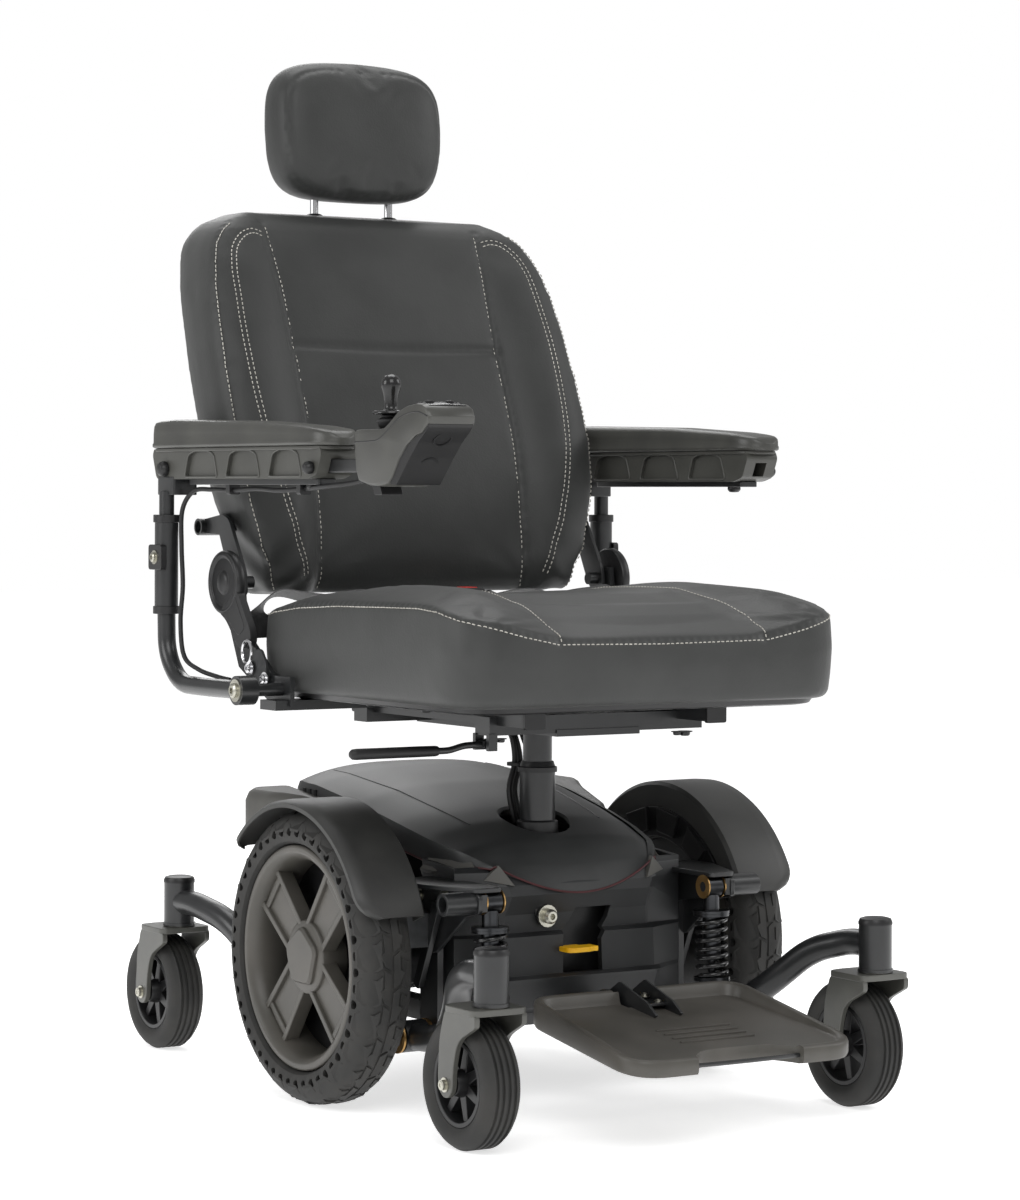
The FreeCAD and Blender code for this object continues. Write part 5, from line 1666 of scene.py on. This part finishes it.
def backTrim():
    # moulded rear panel with a raised border, and the steel side arms that run up inside the cover
    panelRings = []
    for inset, lift in ((0, -6), (0, 2), (4, 5), (16, 5), (19, 2), (60, 3)):
        ring = []
        for i in range(64):
            across, up = squareRound(2 * math.pi * i / 64, 0.3)
            x = (panel["half"] - inset) * across
            z = panel["middle"] + (panel["tall"] - inset) * up
            ring.append((x, backEdgeY(z) + 99 + lift, z))
        panelRings.append(ring)
    addPiece("rearPanel", *loft(panelRings), tailPlastic, "back", "painted_steel", ("back_frame",),
             angle=30)
    arms = [lathe(ringSection(-272, 8, 272, 11), (0, 322, 694), "x", 24)]
    for sign in (-1, 1):
        arm = [(190, 610), (214, 604), (228, 622), (268, 700), (258, 712), (236, 706), (194, 640)]
        arms.append(slab("yz", roundCorners(arm, 8), sign * 271 - 2.5, sign * 271 + 2.5))
        tail = [(236, 690), (262, 684), (334, 686), (334, 702), (260, 712)]
        arms.append(slab("yz", roundCorners(tail, 5), sign * 262 - 2.5, sign * 262 + 2.5))
    addParts("backArms", arms, coatedSteel, "back", "painted_steel", bevel=0.8)
    screws = []
    for x in (-180, 0, 180):
        for z in (676, 1000):
            screws.append(bolt((x, backEdgeY(z) + 103, z), "y", 5, 3.5, 1))
    addParts("backBolts", screws, zinc, "back", "painted_steel")
    collar = [(1104, 5.7), (1104, 12), (1110, 12), (1112, 9.5), (1113, 5.7)]
    sockets = [lathe(collar, (sign * 57.5, 402, 0), "z", 28) for sign in (-1, 1)]
    addParts("headrestSockets", sockets, blackPlastic, "back", "painted_steel")


backTrim()


keptLooks = {
    "painted_steel": coatedSteel, "motor_casting": castAlloy, "damper_steel": damperSteel,
             "chrome_steel": chrome,
    "battery_case": batteryCase, "module_case": blackPlastic, "shell_plastic": shellPlastic,
             "rim_plastic": rimPlastic,
    "tyre": rubber, "fender_plastic": fenderPlastic, "spring_steel": springWire, "arm_plastic": armPlastic,
    "shroud_plastic": shroudPlastic, "tail_plastic": tailPlastic, "yellow_plastic": yellowPlastic,
    "cover_plastic": blackPlastic, "webbing": webbing, "gloss_plastic": glossPlastic,
             "cable_sheath": softRubber,
    "leather": leather, "arm_pad": padSkin,
}
for part in frame["record"]["subparts"]:
    node = nodes[part["node"]]
    node = node if hasattr(node, "material_slots") else bpy.data.objects[node]
    for spot in node.material_slots:
        spot.material = keptLooks[part["material_slot"]]
print("kept nodes painted")


studio = {
    "roomLight": 0.42, "floorGlow": 0.66,
    "lights": {
        "keyLight": ((-1.6, -3.2, 3.2), 2.4, 62), "sideLight": ((-3.4, 0.6, 1.8), 1.6, 34),
        "farLight": ((3.0, -1.6, 2.4), 1.8, 30), "topLight": ((0.4, 0.8, 3.4), 2.0, 42),
        "rearLight": ((1.2, 3.2, 2.4), 1.6, 26),
    },
    "lens": 103.79, "sensor": 36, "shift": -0.0875, "roll": 0.22,
    "cameraSpot": (-2.3281, -3.6538, 0.7366), "ahead": (0.5373, 0.8434, 0), "across": (0.8434, -0.5373, 0),
}


def stageLook(name, colour):
    # Seamless painted backdrop: flat and pale with the faintest mottling.
    look, shader = newLook(name, Roughness=0.9, Emission_Strength=studio["floorGlow"])
    shader.inputs["Emission Color"].default_value = (1, 1, 1, 1)
    tint(look, shader, colour, "#f6f6f6", 2)
    return look


def buildStage():
    # floor, room light and area lights
    bpy.ops.mesh.primitive_plane_add(size=40, location=(0, 0, 0))
    floor = bpy.context.object
    floor.name = "floor"
    floor.data.materials.append(stageLook("paleFloor", "#f8f8f8"))
    world = bpy.data.worlds.new("studio")
    bpy.context.scene.world = world
    world.use_nodes = True
    # a dim white room lights the chair; the camera sees plain white behind it
    room = world.node_tree.nodes["Background"]
    room.inputs["Color"].default_value = (1, 1, 1, 1)
    room.inputs["Strength"].default_value = studio["roomLight"]
    white = addNode(world, "ShaderNodeBackground", {"Color": (1, 1, 1, 1)})
    ray = addNode(world, "ShaderNodeLightPath").outputs["Is Camera Ray"]
    mix = addNode(world, "ShaderNodeMixShader", {0: ray, 1: room.outputs[0], 2: white.outputs[0]})
    world.node_tree.links.new(mix.outputs[0], world.node_tree.nodes["World Output"].inputs["Surface"])
    for name, (spot, size, power) in studio["lights"].items():
        lamp = bpy.data.lights.new(name, "AREA")
        lamp.size = size
        lamp.energy = power
        light = bpy.data.objects.new(name, lamp)
        bpy.context.scene.collection.objects.link(light)
        light.location = spot
        light.rotation_euler = (Vector((0, 0, 0.7)) - Vector(spot)).to_track_quat("-Z", "Y").to_euler()


def buildCamera():
    # a long lens from the front left, with a slight roll
    lens = bpy.data.cameras.new("camera")
    lens.lens, lens.sensor_width, lens.shift_y = studio["lens"], studio["sensor"], studio["shift"]
    camera = bpy.data.objects.new("camera", lens)
    bpy.context.scene.collection.objects.link(camera)
    ahead, across, up = Vector(studio["ahead"]), Vector(studio["across"]), Vector((0, 0, 1))
    roll = math.radians(studio["roll"])
    right = across * math.cos(roll) + up * math.sin(roll)
    upward = up * math.cos(roll) - across * math.sin(roll)
    turn = Matrix((right, upward, -ahead)).transposed()
    camera.matrix_world = Matrix.Translation(Vector(studio["cameraSpot"]) + axleLine) @ turn.to_4x4()
    bpy.context.scene.camera = camera


bpy.context.scene.view_settings.view_transform = "Standard"
buildStage()
buildCamera()
print("stage ready")
